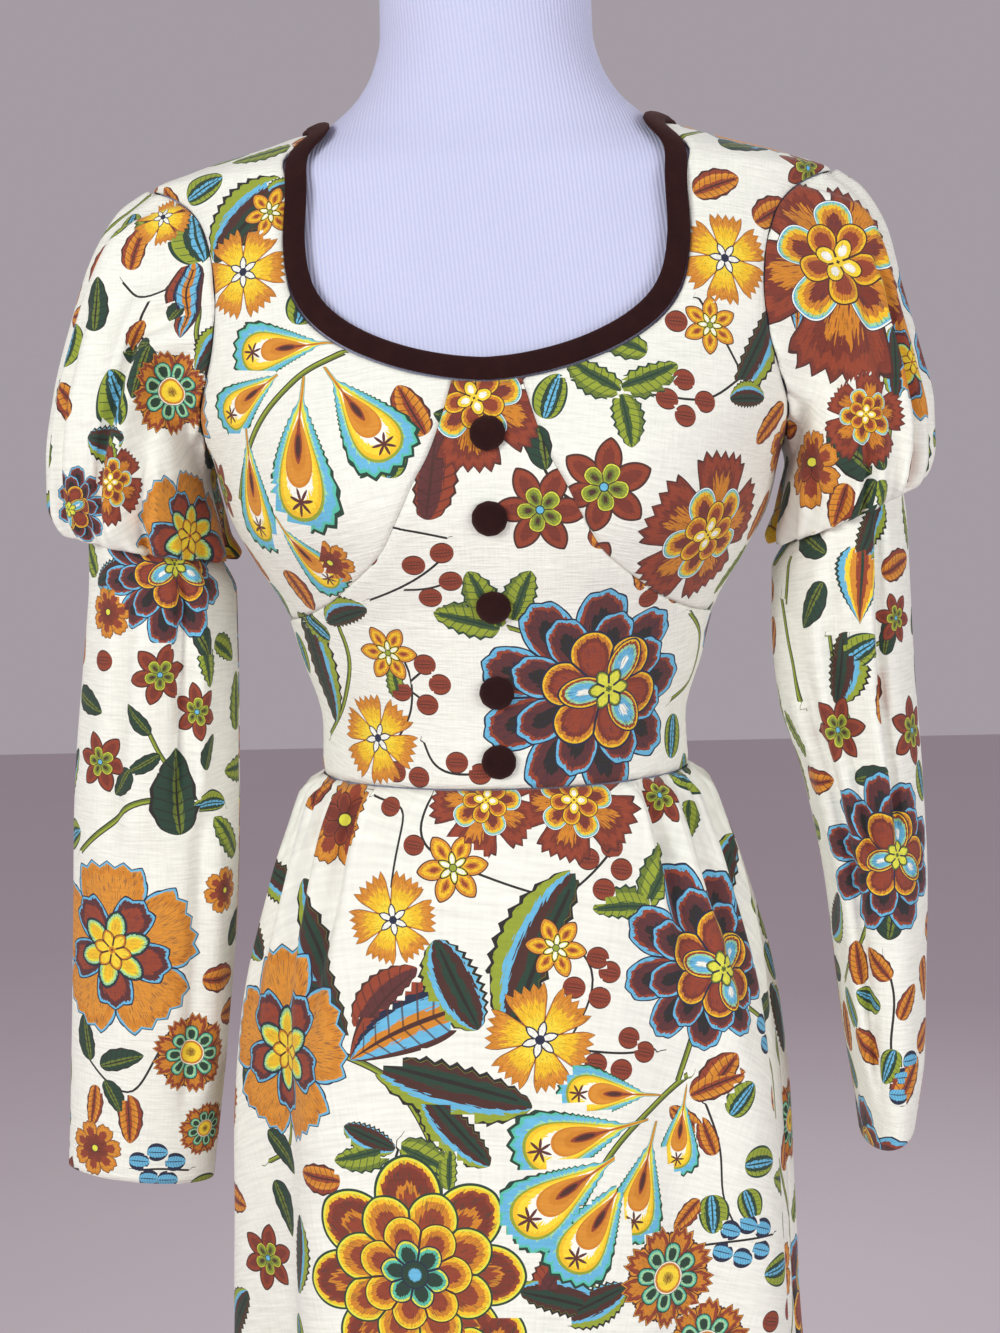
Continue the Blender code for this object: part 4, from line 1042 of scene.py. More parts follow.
def skirt_panels():
    """The front and the back, with closer points where they are gathered, and the hem's line."""
    heights = np.concatenate([
        np.linspace(HEM, 0.70, 76)[:-1], np.linspace(0.70, 0.97, 55)[:-1],
        np.linspace(0.97, WAIST - 0.0002, 26)])
    for name, node, smooth in (("front_skirt", "skirt_front", 46.0),
                               ("back_skirt", "skirt_back", 22.0)):
        gathered = np.linspace(smooth, 90.0, 60)
        turned = np.concatenate([
            -gathered[::-1], np.linspace(-smooth, smooth, 58)[1:-1], gathered])
        angles = turned if node == "skirt_front" else 180 + turned
        level_of, angle = np.meshgrid(heights, (angles + 180) % 360 - 180, indexing="ij")
        points = skirt_points(angle, level_of)
        draw_in(points, SEAM_GAP, edges=(TOP, FIRST, LAST))
        points = sew(points, (TOP, FIRST, LAST), sinking=0.8)
        facing = facing_of(points)
        rise = points[..., 2] - HEM
        points -= facing * (0.0005 * bell(rise - HEM_TURN, 0.0012))[..., None]
        cut_panel(name, node, points, "gathered", (0.86, 1.04, 0.62))


skirt_panels()

# ---------------------------------------------------------------- the sleeves
# Each is a gathered puff set into the armhole, which balloons over the seam of a narrow lower
# sleeve. They hang empty, so they lie flattish and crease lengthwise, with a plain turned cuff.
# Each ring has an outer and an inner point, and a depth in front of and behind the line between.
Ring = namedtuple("Ring", "out_x out_z in_x in_z front back")
PUFF = {
    "left": (
        (0.2060, 1.3735, 0.1635, 1.2220, 0.0540, 0.0560),
        (0.2225, 1.3490, 0.1610, 1.2090, 0.0580, 0.0600),
        (0.2370, 1.3130, 0.1585, 1.1990, 0.0610, 0.0620),
        (0.2490, 1.2720, 0.1570, 1.1920, 0.0620, 0.0620),
        (0.2535, 1.2340, 0.1555, 1.1870, 0.0610, 0.0610),
        (0.2525, 1.2110, 0.1550, 1.1825, 0.0590, 0.0590),
        (0.2440, 1.1955, 0.1565, 1.1775, 0.0550, 0.0550),
        (0.2340, 1.2000, 0.1615, 1.1800, 0.0510, 0.0510),
    ),
    "right": (
        (0.2035, 1.3740, 0.1635, 1.2240, 0.0540, 0.0560),
        (0.2175, 1.3510, 0.1610, 1.2120, 0.0580, 0.0600),
        (0.2265, 1.3180, 0.1590, 1.2040, 0.0610, 0.0620),
        (0.2355, 1.2850, 0.1575, 1.1970, 0.0620, 0.0620),
        (0.2415, 1.2530, 0.1560, 1.1910, 0.0610, 0.0610),
        (0.2405, 1.2300, 0.1555, 1.1855, 0.0590, 0.0590),
        (0.2340, 1.2120, 0.1565, 1.1795, 0.0550, 0.0550),
        (0.2265, 1.2150, 0.1620, 1.1815, 0.0510, 0.0510),
    ),
}
LOWER_SLEEVE = {
    "left": (
        (0.2337, 1.1994, 0.1618, 1.1794, 0.0507, 0.0507),
        (0.2355, 1.1700, 0.1525, 1.1600, 0.0490, 0.0490),
        (0.2415, 1.1200, 0.1530, 1.1150, 0.0470, 0.0470),
        (0.2480, 1.0700, 0.1545, 1.0680, 0.0440, 0.0440),
        (0.2515, 1.0330, 0.1557, 1.0330, 0.0420, 0.0420),
        (0.2545, 0.9850, 0.1585, 0.9850, 0.0390, 0.0390),
        (0.2580, 0.9300, 0.1640, 0.9300, 0.0350, 0.0350),
        (0.2615, 0.8800, 0.1705, 0.8780, 0.0290, 0.0290),
        (0.2640, 0.8450, 0.1755, 0.8430, 0.0260, 0.0260),
        (0.2660, 0.8230, 0.1800, 0.8130, 0.0240, 0.0240),
    ),
    "right": (
        (0.2262, 1.2144, 0.1623, 1.1809, 0.0507, 0.0507),
        (0.2295, 1.1900, 0.1545, 1.1650, 0.0500, 0.0500),
        (0.2315, 1.1500, 0.1538, 1.1300, 0.0490, 0.0490),
        (0.2340, 1.1000, 0.1575, 1.0900, 0.0480, 0.0480),
        (0.2375, 1.0500, 0.1695, 1.0500, 0.0480, 0.0480),
        (0.2400, 0.9850, 0.1825, 0.9850, 0.0500, 0.0500),
        (0.2388, 0.9300, 0.1885, 0.9300, 0.0500, 0.0500),
        (0.2378, 0.8870, 0.1940, 0.8870, 0.0500, 0.0500),
        (0.2345, 0.8620, 0.1980, 0.8620, 0.0490, 0.0490),
        (0.2315, 0.8460, 0.2015, 0.8350, 0.0470, 0.0470),
    ),
}
PUFF_GATHERS, GATHER_DEPTH = 9, 0.0030
GATHER_SHARES = (0.0, 0.9, 1.2, 0.9, 0.8, 1.1, 1.4, 0.8, 0.0)    # of that depth, ring by ring
PUCKERS, PUCKER_DEPTH, TOP_REACH, CUFF_REACH = 21, 0.0030, 0.022, 0.034
RUMPLES, RUMPLE_DEPTH, RUMPLE_REACH = 14, 0.0009, 0.030
SLEEVE_HEM = 0.014       # from the cuff's edge to the stitched line of its hem
CREASE_RELIEF = 2.2      # how much sharper the cloth creases than its table says
PUFF_SIDES, LOWER_SIDES = 120, 96
PUFF_ROWS, LOWER_ROWS = 62, 112

# Long creases: the angle round the sleeve at their upper and lower end (0 is the outer side and 90
# the front), their depth and half width in degrees, and the shares of the length they run between.
PUFF_CREASES = {
    "left": (
        (84, 76, 0.0050, 7, 0.02, 0.97), (110, 104, 0.0030, 6, 0.45, 0.99),
        (40, 46, 0.0028, 9, 0.30, 0.98), (-60, -70, 0.0040, 9, 0.05, 0.98),
        (-110, -118, 0.0035, 8, 0.30, 0.98),
    ),
    "right": (
        (44, 50, 0.0050, 7, 0.25, 0.98), (84, 88, 0.0024, 8, 0.55, 0.99),
        (128, 124, 0.0030, 8, 0.30, 0.99), (-55, -62, 0.0040, 9, 0.05, 0.98),
        (-105, -112, 0.0035, 8, 0.25, 0.98),
    ),
}
SLEEVE_CREASES = {
    "left": (
        (120, 112, 0.0042, 9, -0.02, 0.46), (75, 60, 0.0022, 14, 0.05, 0.50),
        (134, 128, 0.0024, 12, 0.35, 0.92), (-70, -60, 0.0035, 13, 0.02, 0.60),
        (-120, -130, 0.0030, 12, 0.25, 0.95),
    ),
    "right": (
        (64, 78, 0.0040, 9, -0.02, 0.55), (108, 100, 0.0030, 10, 0.03, 0.60),
        (132, 118, 0.0032, 11, 0.20, 0.95), (-65, -60, 0.0035, 13, 0.02, 0.60),
        (-120, -110, 0.0030, 12, 0.25, 0.95),
    ),
}


def ring_points(ring, turn):
    """The points of one ring at these angles, from its outer point round by the front."""
    middle = np.array([(ring.out_x + ring.in_x) / 2, 0.0, (ring.out_z + ring.in_z) / 2])
    reach = np.array([(ring.out_x - ring.in_x) / 2, 0.0, (ring.out_z - ring.in_z) / 2])
    along = np.sin(turn)
    points = middle + np.cos(turn)[:, None] * reach
    points[:, 1] -= np.where(along > 0, ring.front, ring.back) * along
    return points


def armhole_ring(turn):
    """The armhole's own edge at these angles, as the first ring of a sleeve."""
    swing = np.where(np.sin(turn) > 0, -ARMHOLE_FRONT, ARMHOLE_BACK)
    ring = body_points(*armhole(turn, swing).T)
    ring[:, 0] += 2 * SEAM_GAP
    return ring


def tube_through(rings, rows):
    """Smooth rows of points through a sleeve's rings, closer together where it turns under."""
    rings = np.array(rings)
    steps = np.linalg.norm(np.diff(rings, axis=0), axis=-1).mean(axis=1)
    knots = np.concatenate([[0], np.cumsum(steps)])
    return curve_through(knots, rings, np.linspace(0, knots[-1], rows)), knots


def outwards(points):
    """Unit directions from the middle of each row of points."""
    return unit(points - points.mean(axis=-2, keepdims=True))


def creased(points, turn, creases):
    """Presses lengthwise creases in: a sharp valley with a soft ridge at one side of it."""
    share = np.linspace(0, 1, len(points))[:, None]
    angle = np.degrees(turn)[None, :]
    move = np.zeros(points.shape[:2])
    for angle_top, angle_low, depth, width, start, end in creases:
        middle = angle_top + (angle_low - angle_top) * share
        wide = (angle - middle + 180) % 360 - 180
        runs = ramp(share, start, start + 0.12) * (1 - ramp(share, end - 0.10, end))
        ridge = 0.8 * bell(wide - width * 1.1, width * 0.8)
        move += CREASE_RELIEF * depth * (ridge - bell(wide, width * 0.40)) * runs
    return points + outwards(points) * move[..., None]


def lay_sleeve(name, node, points, side, held, cut):
    """Cuts a sleeve's tube: its rows run down the arm, and the panel's run up."""
    laid = points[::-1]
    cut_panel(name, node, mirrored(laid) if side == "left" else laid, held, cut,
              rests_on=f"{side}_cup")


def puff(side):
    """The upper sleeve: gathered rings from the armhole down to the lower sleeve's seam."""
    turn = pi - np.linspace(0, 2 * pi, PUFF_SIDES + 1)
    rings = [armhole_ring(turn)] + [ring_points(Ring(*row), turn) for row in PUFF[side]]
    wave = np.cos(PUFF_GATHERS * turn) * (1 + 0.35 * np.sin(2 * turn + 0.6))
    for ring, share in zip(rings, GATHER_SHARES):
        ring += GATHER_DEPTH * share * wave[:, None] * unit(ring - ring[:-1].mean(axis=0))
    points, knots = tube_through(rings, PUFF_ROWS)
    points = creased(points, turn, PUFF_CREASES[side])
    place = np.linspace(0, knots[-1], PUFF_ROWS)[:, None]
    left = knots[-1] - place
    fine = np.sin(PUCKERS * turn + 1.6 * np.sin(3 * turn))
    near_seams = 0.8 * np.exp(-place / TOP_REACH) + np.exp(-left / CUFF_REACH)
    move = PUCKER_DEPTH * fine * near_seams * ramp(place, 0, 0.003) * ramp(left, 0, 0.004)
    move -= 0.0008 * bell(place, 0.0022)
    points += outwards(points) * move[..., None]
    lay_sleeve(f"{side}_puff_sleeve", f"sleeve_puff_{side}", points, side, "gathered",
               (0.40, 0.30, 0.064))


def lower_sleeve(side):
    """The narrow sleeve, a little rumpled below the puff, with the line of its turned hem."""
    turn = pi - np.linspace(0, 2 * pi, LOWER_SIDES + 1)
    rings = [ring_points(Ring(*row), turn) for row in LOWER_SLEEVE[side]]
    points, knots = tube_through(rings, LOWER_ROWS)
    points = creased(points, turn, SLEEVE_CREASES[side])
    place = np.linspace(0, knots[-1], LOWER_ROWS)[:, None]
    fine = np.sin(RUMPLES * turn + 1.1 * np.sin(2 * turn + 1))
    move = RUMPLE_DEPTH * fine * np.exp(-place / RUMPLE_REACH) * ramp(place, 0, 0.006)
    move -= 0.0005 * bell(knots[-1] - place - SLEEVE_HEM, 0.0011)
    points += outwards(points) * move[..., None]
    lay_sleeve(f"{side}_lower_sleeve", f"sleeve_lower_{side}", points, side, "hung",
               (0.29, 0.39, 0.099))


for arm in ("left", "right"):
    puff(arm)
    lower_sleeve(arm)

# ---------------------------------------------------------------- the print's layout
# The flowers, leaves and stems that show in front are placed by the photo's pixels, each on the
# panel that is seen there, with their sizes in millimetres. The same motifs in a plain repeat fill
# what the camera doesn't see. A flower's row holds its pixel, how wide it is and its turn in
# degrees, a leaf's its stalk's pixel, length, half width, turn and bend, and a stem's its pixels.
MM_PER_PIXEL = 0.55

FRONT_FLOWERS = {
    "plume": (
        (284, 348, 66, 177), (250, 396, 60, 205), (298, 450, 92, 262), (358, 412, 76, 300),
        (252, 486, 78, 260), (306, 556, 60, 288), (612, 1094, 62, 188), (582, 1138, 82, 203),
        (566, 1192, 86, 222), (598, 1222, 80, 246), (642, 1184, 72, 268), (680, 1132, 52, 280),
        (682, 150, 40, -20), (762, 905, 50, 80),
    ),
    "scallop": (
        (912, 362, 58, 30), (288, 1050, 106, 90), (112, 950, 104, 40), (190, 536, 88, 60),
        (905, 500, 40, 20),
    ),
    "carnation": (
        (243, 272, 50, 10), (725, 258, 50, -20), (378, 738, 50, 0), (393, 920, 50, 20),
        (540, 1040, 58, 5), (163, 217, 34, 0), (782, 750, 44, 0),
    ),
    "star": (
        (270, 212, 30, 10), (710, 325, 32, 30), (388, 653, 34, 0), (453, 868, 40, 14),
        (556, 948, 34, 0),
    ),
    "lotus": (
        (588, 692, 122, 0), (706, 965, 104, 10), (884, 860, 86, 10), (165, 572, 80, 20),
        (76, 506, 46, 200),
    ),
    "daisy": (
        (345, 820, 62, 30), (95, 1148, 34, 10), (330, 563, 30, 30), (108, 612, 30, 0),
        (225, 890, 28, 40), (812, 462, 42, 50), (782, 440, 40, 80),
    ),
    "burgundy": (
        (110, 482, 44, 250), (708, 535, 92, 100), (838, 262, 118, 60), (474, 398, 80, 200),
        (486, 800, 60, 270), (574, 800, 64, 265), (866, 414, 46, 100),
    ),
    "layered": (
        (415, 1275, 122, 0), (470, 1400, 105, 20),
    ),
    "rosette": (
        (172, 392, 50, 20), (191, 1052, 50, 0), (668, 1278, 58, 0), (706, 1345, 54, 20),
        (205, 1128, 34, 10), (790, 1120, 50, 0),
    ),
    "rust star": (
        (540, 510, 50, 10), (604, 487, 52, 40), (160, 675, 36, 20), (197, 712, 34, 50),
        (100, 762, 36, 0), (660, 795, 34, 80), (896, 618, 30, 0), (838, 730, 40, 15),
        (268, 1258, 40, 15),
    ),
}

FRONT_LEAVES = {
    "curl": (
        (214, 262, 58, 17, 42, 0.35), (262, 200, 22, 7, 20, 0.2), (196, 372, 36, 11, 48, 0.3),
        (204, 366, 34, 10, -45, 0.2), (782, 212, 46, 12, 170, -0.3), (800, 215, 34, 10, 250, 0.2),
        (735, 395, 66, 12, 62, -0.35), (730, 398, 26, 8, 8, 0.3), (336, 722, 72, 14, 100, -0.35),
        (326, 622, 34, 10, 25, 0.35), (300, 690, 40, 11, 70, 0.2), (507, 1034, 86, 17, 74, 0.42),
        (478, 1030, 50, 17, 118, 0.15), (346, 1046, 84, 13, 104, 0.32),
        (330, 1010, 36, 12, 135, 0.2), (372, 1066, 92, 18, -14, -0.32),
        (420, 1090, 58, 14, -48, -0.3), (742, 950, 60, 11, 108, 0.2),
        (124, 438, 36, 12, 165, 0.2), (895, 400, 44, 9, 95, 0.1), (776, 690, 60, 11, 85, 0.35),
        (860, 560, 40, 12, 60, -0.3), (132, 560, 34, 10, 200, 0.2), (300, 1215, 48, 13, 250, 0.3),
        (262, 960, 40, 11, 100, 0.3), (786, 1010, 44, 11, 95, -0.3),
        (520, 1290, 50, 14, -10, 0.3), (560, 1320, 40, 12, 30, -0.2),
        (548, 452, 42, 11, 100, -0.3), (395, 1150, 30, 9, 150, 0.2), (838, 705, 42, 14, 75, -0.3),
    ),
    "eyed": (
        (204, 262, 38, 14, 108, 0.2), (330, 640, 24, 8, 150, 0.2), (116, 428, 44, 16, 106, 0.15),
        (388, 478, 24, 10, 70, 0.1), (195, 805, 24, 7, -10, 0.2), (840, 665, 28, 9, 30, 0.1),
        (730, 1115, 22, 8, 70, 0.1), (745, 1165, 22, 9, 20, 0.1), (712, 1195, 22, 9, 290, 0.1),
        (745, 1190, 20, 8, 310, 0.1), (880, 1010, 22, 7, 160, 0.1), (895, 1050, 22, 7, 250, 0.1),
    ),
    "paisley": (
        (180, 338, 52, 13, 82, 0.15), (796, 330, 46, 12, 95, -0.2), (350, 1060, 68, 19, 24, 0.25),
    ),
    "seam": (
        (356, 1030, 46, 10, 40, 0.4), (540, 1300, 30, 10, 60, 0.2), (428, 520, 50, 12, 82, -0.2),
    ),
    "lime": (
        (400, 700, 20, 6, 100, 0.1), (500, 628, 36, 11, 115, 0.1), (500, 628, 36, 11, 165, -0.1),
        (512, 620, 30, 10, 70, 0.1), (620, 392, 34, 10, 150, 0.2), (622, 388, 34, 10, 30, -0.2),
        (622, 394, 28, 9, 285, 0.1), (645, 905, 36, 10, 75, 0.2), (650, 905, 34, 10, 195, -0.2),
        (390, 1150, 32, 9, 185, 0.2), (400, 1145, 36, 9, -30, 0.2), (448, 1190, 24, 6, 85, 0.2),
        (205, 645, 26, 9, 285, 0.2), (215, 640, 24, 8, 330, 0.2), (800, 790, 34, 8, 300, 0.2),
        (880, 480, 26, 6, 300, 0.2), (690, 800, 26, 7, 280, 0.2), (112, 462, 20, 7, 100, 0.1),
        (145, 235, 20, 7, 100, 0.1),
    ),
    "dark": (
        (195, 625, 26, 8, 300, 0.2), (545, 470, 38, 8, 95, 0.3), (150, 345, 24, 7, 170, 0.2),
        (150, 345, 28, 8, 240, 0.1), (168, 320, 18, 5, 30, 0.2), (180, 835, 44, 15, 95, 0.1),
        (150, 735, 22, 5, 130, 0.1), (160, 755, 22, 5, 210, 0.1), (205, 770, 22, 6, 60, 0.3),
        (130, 770, 22, 7, 230, 0.1), (885, 655, 26, 6, 80, -0.2), (855, 780, 26, 6, 10, 0.2),
        (884, 470, 22, 6, 120, 0.2), (872, 474, 42, 10, 160, 0.2), (876, 480, 36, 10, 255, 0.1),
        (830, 465, 22, 6, 200, 0.2), (690, 775, 26, 6, 160, 0.2), (268, 1130, 32, 7, 300, 0.1),
        (275, 1180, 34, 8, 280, 0.2), (262, 1110, 30, 8, 100, 0.2), (90, 1060, 28, 7, 100, 0.2),
        (100, 1065, 28, 7, 20, 0.2), (105, 1080, 22, 6, 300, 0.2), (888, 940, 36, 10, 80, 0.1),
    ),
    "feather": (
        (860, 624, 44, 15, 85, 0.1),
    ),
    "bud": (
        (96, 1085, 26, 6, 265, 0.1), (128, 1095, 30, 8, 275, 0.1), (425, 435, 30, 10, 110, 0.1),
        (440, 430, 30, 9, 60, 0.1), (130, 350, 18, 6, 60, 0.1), (848, 484, 22, 9, 270, 0.1),
        (130, 270, 28, 8, 80, 0.1), (165, 240, 26, 11, 70, 0.1), (690, 1095, 34, 9, 40, 0.1),
        (705, 1100, 30, 10, 75, 0.2), (715, 1155, 22, 6, 130, 0.1), (700, 1130, 22, 6, 160, 0.1),
        (700, 1200, 22, 6, 240, 0.1), (890, 980, 22, 7, 130, 0.1), (900, 1020, 22, 6, 60, 0.1),
        (862, 985, 26, 8, 100, 0.1), (850, 1050, 30, 9, 95, 0.1), (895, 1105, 30, 9, 60, 0.1),
    ),
}

# Round berries and small blue buds on thin stems: their kind and size, and their pixels.
FRONT_BERRIES = {
    ("berry", 12.5): (
        (667, 397), (684, 378), (686, 414), (706, 400), (413, 566), (441, 554), (450, 582),
        (430, 598), (425, 664), (440, 684), (402, 690), (428, 704), (398, 770), (420, 776),
        (457, 762), (480, 774), (394, 802), (415, 843), (588, 858), (612, 846), (604, 888),
        (622, 868), (598, 956), (574, 986), (610, 970), (600, 996), (596, 1062), (622, 1068),
        (646, 1050), (630, 1036), (650, 600), (688, 296), (676, 320), (782, 500), (92, 676),
        (108, 660),
    ),
    ("blue", 12): (
        (732, 1228), (750, 1222), (766, 1226), (724, 1250), (744, 1256), (764, 1248), (140, 1160),
        (158, 1152), (176, 1162), (150, 1178), (168, 1180), (905, 1078), (914, 1062), (900, 1094),
        (768, 1020), (772, 1040),
    ),
}

# Stems by their width.
FRONT_STEMS = {
    3.6: (
        ((345, 352), (310, 368), (275, 400), (250, 445), (240, 500)),
        ((684, 1078), (655, 1105), (625, 1135), (600, 1170), (585, 1200)),
        ((82, 850), (110, 825), (145, 800), (180, 800), (220, 805)),
    ),
    3: (
        ((272, 186), (240, 215), (212, 250), (200, 280), (196, 330), (200, 368)),
        ((772, 480), (776, 520), (790, 560), (786, 600)),
        ((330, 735), (345, 700), (350, 660), (335, 620)),
        ((752, 1010), (770, 1060), (776, 1120), (790, 1180)),
        ((845, 980), (862, 940), (868, 900), (870, 860)), ((640, 910), (655, 915), (672, 925)),
        ((510, 628), (528, 632), (540, 640)),
        ((782, 600), (790, 650), (800, 700), (790, 740), (800, 790)),
        ((690, 612), (700, 640), (690, 680), (670, 700)), ((892, 385), (892, 410), (890, 440)),
    ),
    4: (
        ((350, 1058), (392, 1078), (420, 1120), (440, 1170), (440, 1215)),
    ),
    3.4: (
        ((678, 1080), (690, 1045), (700, 1010)),
        ((300, 1085), (290, 1120), (292, 1150), (272, 1160)),
    ),
    2.6: (
        ((830, 640), (838, 690), (850, 720)), ((855, 640), (870, 660), (886, 640)),
        ((150, 735), (165, 765), (190, 790)),
    ),
    1.6: (
        ((545, 470), (556, 492), (572, 500)),
    ),
    1.3: (
        ((370, 600), (400, 588), (430, 570), (445, 556)), ((405, 590), (425, 590), (450, 582)),
        ((398, 650), (412, 680), (412, 710), (400, 735)), ((412, 680), (426, 668)),
        ((412, 692), (428, 704)), ((425, 745), (432, 765), (452, 775), (480, 774)),
        ((390, 780), (385, 800), (415, 800), (392, 880)),
        ((430, 800), (410, 840), (440, 860), (470, 870), (520, 890), (560, 900)),
        ((560, 900), (590, 880), (612, 850)), ((575, 945), (600, 965), (590, 1010), (575, 1030)),
        ((560, 1050), (590, 1050), (620, 1056), (650, 1050)),
        ((655, 395), (690, 400), (706, 400), (740, 378)), ((700, 300), (730, 350), (745, 380)),
        ((708, 1110), (722, 1150), (722, 1200), (735, 1225)),
        ((705, 1245), (745, 1240), (770, 1235)),
        ((885, 960), (895, 1000), (890, 1050), (905, 1090)),
        ((140, 1170), (160, 1168), (185, 1170)), ((385, 1190), (392, 1170), (398, 1150)),
        ((125, 285), (140, 300), (165, 290)), ((150, 300), (135, 330), (150, 345)),
        ((90, 1060), (110, 1085), (128, 1095), (160, 1050)),
    ),
}

# The repeat for the sides and the back, in millimetres on the flat cloth: rows as above.
REPEAT = np.array([0.34, 0.40])
REPEAT_FLOWERS = {
    "lotus": ((70, 80, 118),), "burgundy": ((240, 60, 110),), "scallop": ((290, 200, 104),),
    "layered": ((60, 300, 122),), "carnation": ((160, 160, 52), (205, 330, 52), (20, 190, 46)),
    "rosette": ((150, 30, 46), (300, 370, 46)),
    "rust star": ((195, 240, 50), (320, 125, 36), (135, 375, 40)),
    "star": ((120, 215, 34), (180, 105, 32)), "daisy": ((275, 300, 50),),
}
REPEAT_LEAVES = {
    "curl": (
        (120, 125, 70, 12, 60, 0.4), (215, 140, 70, 12, 120, -0.4), (250, 370, 60, 11, 220, 0.4),
    ),
    "feather": (
        (235, 200, 70, 18, 170, 0.2), (235, 200, 64, 17, 135, 0.2), (240, 205, 60, 15, 100, 0.2),
    ),
    "lime": (
        (150, 280, 40, 11, 30, 0.2), (150, 280, 36, 10, 160, 0.2), (5, 370, 36, 10, 80, 0.2),
    ),
    "dark": (
        (190, 290, 36, 9, 100, 0.2), (260, 130, 34, 10, 20, 0.2),
    ),
    "eyed": (
        (10, 130, 28, 9, 60, 0.1), (330, 60, 28, 9, 250, 0.1),
    ),
    "bud": (
        (330, 270, 30, 10, 80, 0.1), (110, 10, 30, 9, 250, 0.1),
    ),
    "paisley": (
        (165, 65, 44, 13, 10, 0.1),
    ),
    "berry": (
        (225, 275, 12.5, 6.2, 0, 0), (240, 262, 12.5, 6.2, 0, 0), (243, 282, 12.5, 6.2, 0, 0),
        (110, 170, 12.5, 6.2, 0, 0), (100, 185, 12.5, 6.2, 0, 0), (90, 168, 12.5, 6.2, 0, 0),
    ),
    "blue": (
        (280, 135, 12.5, 5.5, 40, 0), (292, 142, 12.5, 5.5, 80, 0),
    ),
}
REPEAT_STEMS = (
    (3.6, ((110, 110), (150, 135), (210, 125), (250, 150), (270, 190))),
    (3.4, ((100, 260), (140, 270), (180, 285), (200, 320))),
    (1.3, ((160, 180), (120, 190), (90, 170))), (1.3, ((195, 255), (220, 270), (245, 270))),
    (3, ((290, 250), (310, 280), (290, 330), (250, 360))),
)

# Small leaves and buds that fill the gaps left over, a finger's width apart.
FILLERS = (
    ("curl", 0.044, 0.012), ("lime", 0.034, 0.009), ("bud", 0.028, 0.009), ("dark", 0.030, 0.008),
    ("eyed", 0.025, 0.009),
)
FILLER_STEP, FILLER_SCATTER = 0.017, 0.004

OVAL = {"plume": 0.66}   # how wide a long motif is for its length
HIDDEN = (9.0, 9.0)      # a place on a motif's own map that is well outside it
STEM_ROOM, STEM_GAP = 0.003, 0.004       # what a stem takes up, and what a repeated one needs free
CLOSENESS, LEAF_ROOM, FILLER_ROOM = 0.96, 0.42, 0.48     # the shares of their size kept free
REPEAT_SHIFT = np.array([0.137, 0.211])  # how far each panel's repeat is moved from the last one's
REPEAT_TURN = 0.74       # a repeated flower's turn for each millimetre across, so that they vary


def spot(px, py):
    """The panel seen at a pixel, and the place and scale there on its flat cut."""
    heading = ray_through(px, py).normalized()
    nearest = None
    for name, panel in panels.items():
        hit, _, face, distance = panel.tree.ray_cast(Vector(EYE), heading)
        if hit is not None and (nearest is None or distance < nearest[0]):
            nearest = (distance, name, hit, face)
    if nearest is None:
        return None, None, None
    _, name, hit, face = nearest
    panel = panels[name]
    points = panel.piece.data.polygons[face].vertices
    shares = poly_3d_calc([panel.piece.data.vertices[k].co for k in points], hit)
    return name, np.array(shares) @ panel.flat[list(points)], panel.scales[face]


def scale_at(panel, place):
    """The panel's scale near a place on its flat cut."""
    return panel.scales[np.hypot(*(panel.centres - place).T).argmin()]


def heading_of(turn):
    """The direction of a turn in degrees on the flat cloth."""
    return np.array([cos(radians(turn)), sin(radians(turn))])


Motifs = namedtuple("Motifs", "flowers leaves stems")


def gather_layout():
    """Every panel's flowers, leaves and stems: the placed ones first, then the repeat's."""
    layout = {name: Motifs([], [], []) for name in panels}
    for kind, rows in FRONT_FLOWERS.items():
        for px, py, across, turn in rows:
            name, place, scale = spot(px, py)
            if name:
                layout[name].flowers.append((kind, place, across / 2000 * scale, turn))
    leaves = [(kind, *row) for kind, rows in FRONT_LEAVES.items() for row in rows]
    for (kind, size), places in FRONT_BERRIES.items():
        leaves += [
            (kind, px - size / 2 / MM_PER_PIXEL, py, size, size / 2.1, 0, 0) for px, py in places]
    for kind, px, py, length, width, turn, bend in leaves:
        name, place, scale = spot(px, py)
        if name:
            layout[name].leaves.append(
                (kind, place, length / 1000 * scale, width / 1000 * scale, turn, bend))
    for width, routes in FRONT_STEMS.items():
        for route in routes:
            found = [spot(px, py) for px, py in route]
            for name in sorted({name for name, _, _ in found if name}):
                laid = [place for at, place, _ in found if at == name]
                if len(laid) > 1:
                    layout[name].stems.append(
                        (width / 1000 * scale_at(panels[name], laid[0]), np.array(laid)))
    for number, (name, panel) in enumerate(panels.items()):
        add_repeat(layout[name], panel, number)
    return layout


def taken(motifs):
    """The places on a panel's flat cut that motifs already cover: x, y and radius of each."""
    rows = [(*HIDDEN, 0.0)]
    for kind, place, radius, turn in motifs.flowers:
        if kind in OVAL:
            heading = heading_of(turn) * radius / 2
            rows += [(*(place + heading), radius * 0.5), (*(place - heading), radius * 0.4)]
        else:
            rows.append((*place, radius))
    for _, place, length, width, turn, bend in motifs.leaves:
        heading = heading_of(turn)
        aside = np.array([-heading[1], heading[0]]) * bend * width
        for share in (0.25, 0.5, 0.75):
            middle = place + heading * length * share + aside * 4 * share * (1 - share)
            rows.append((*middle, max(length * 0.22, width * 0.8)))
    for _, route in motifs.stems:
        for start, end in zip(route[:-1], route[1:]):
            rows += [(*place, STEM_ROOM) for place in np.linspace(start, end, 6)]
    return np.array(rows)


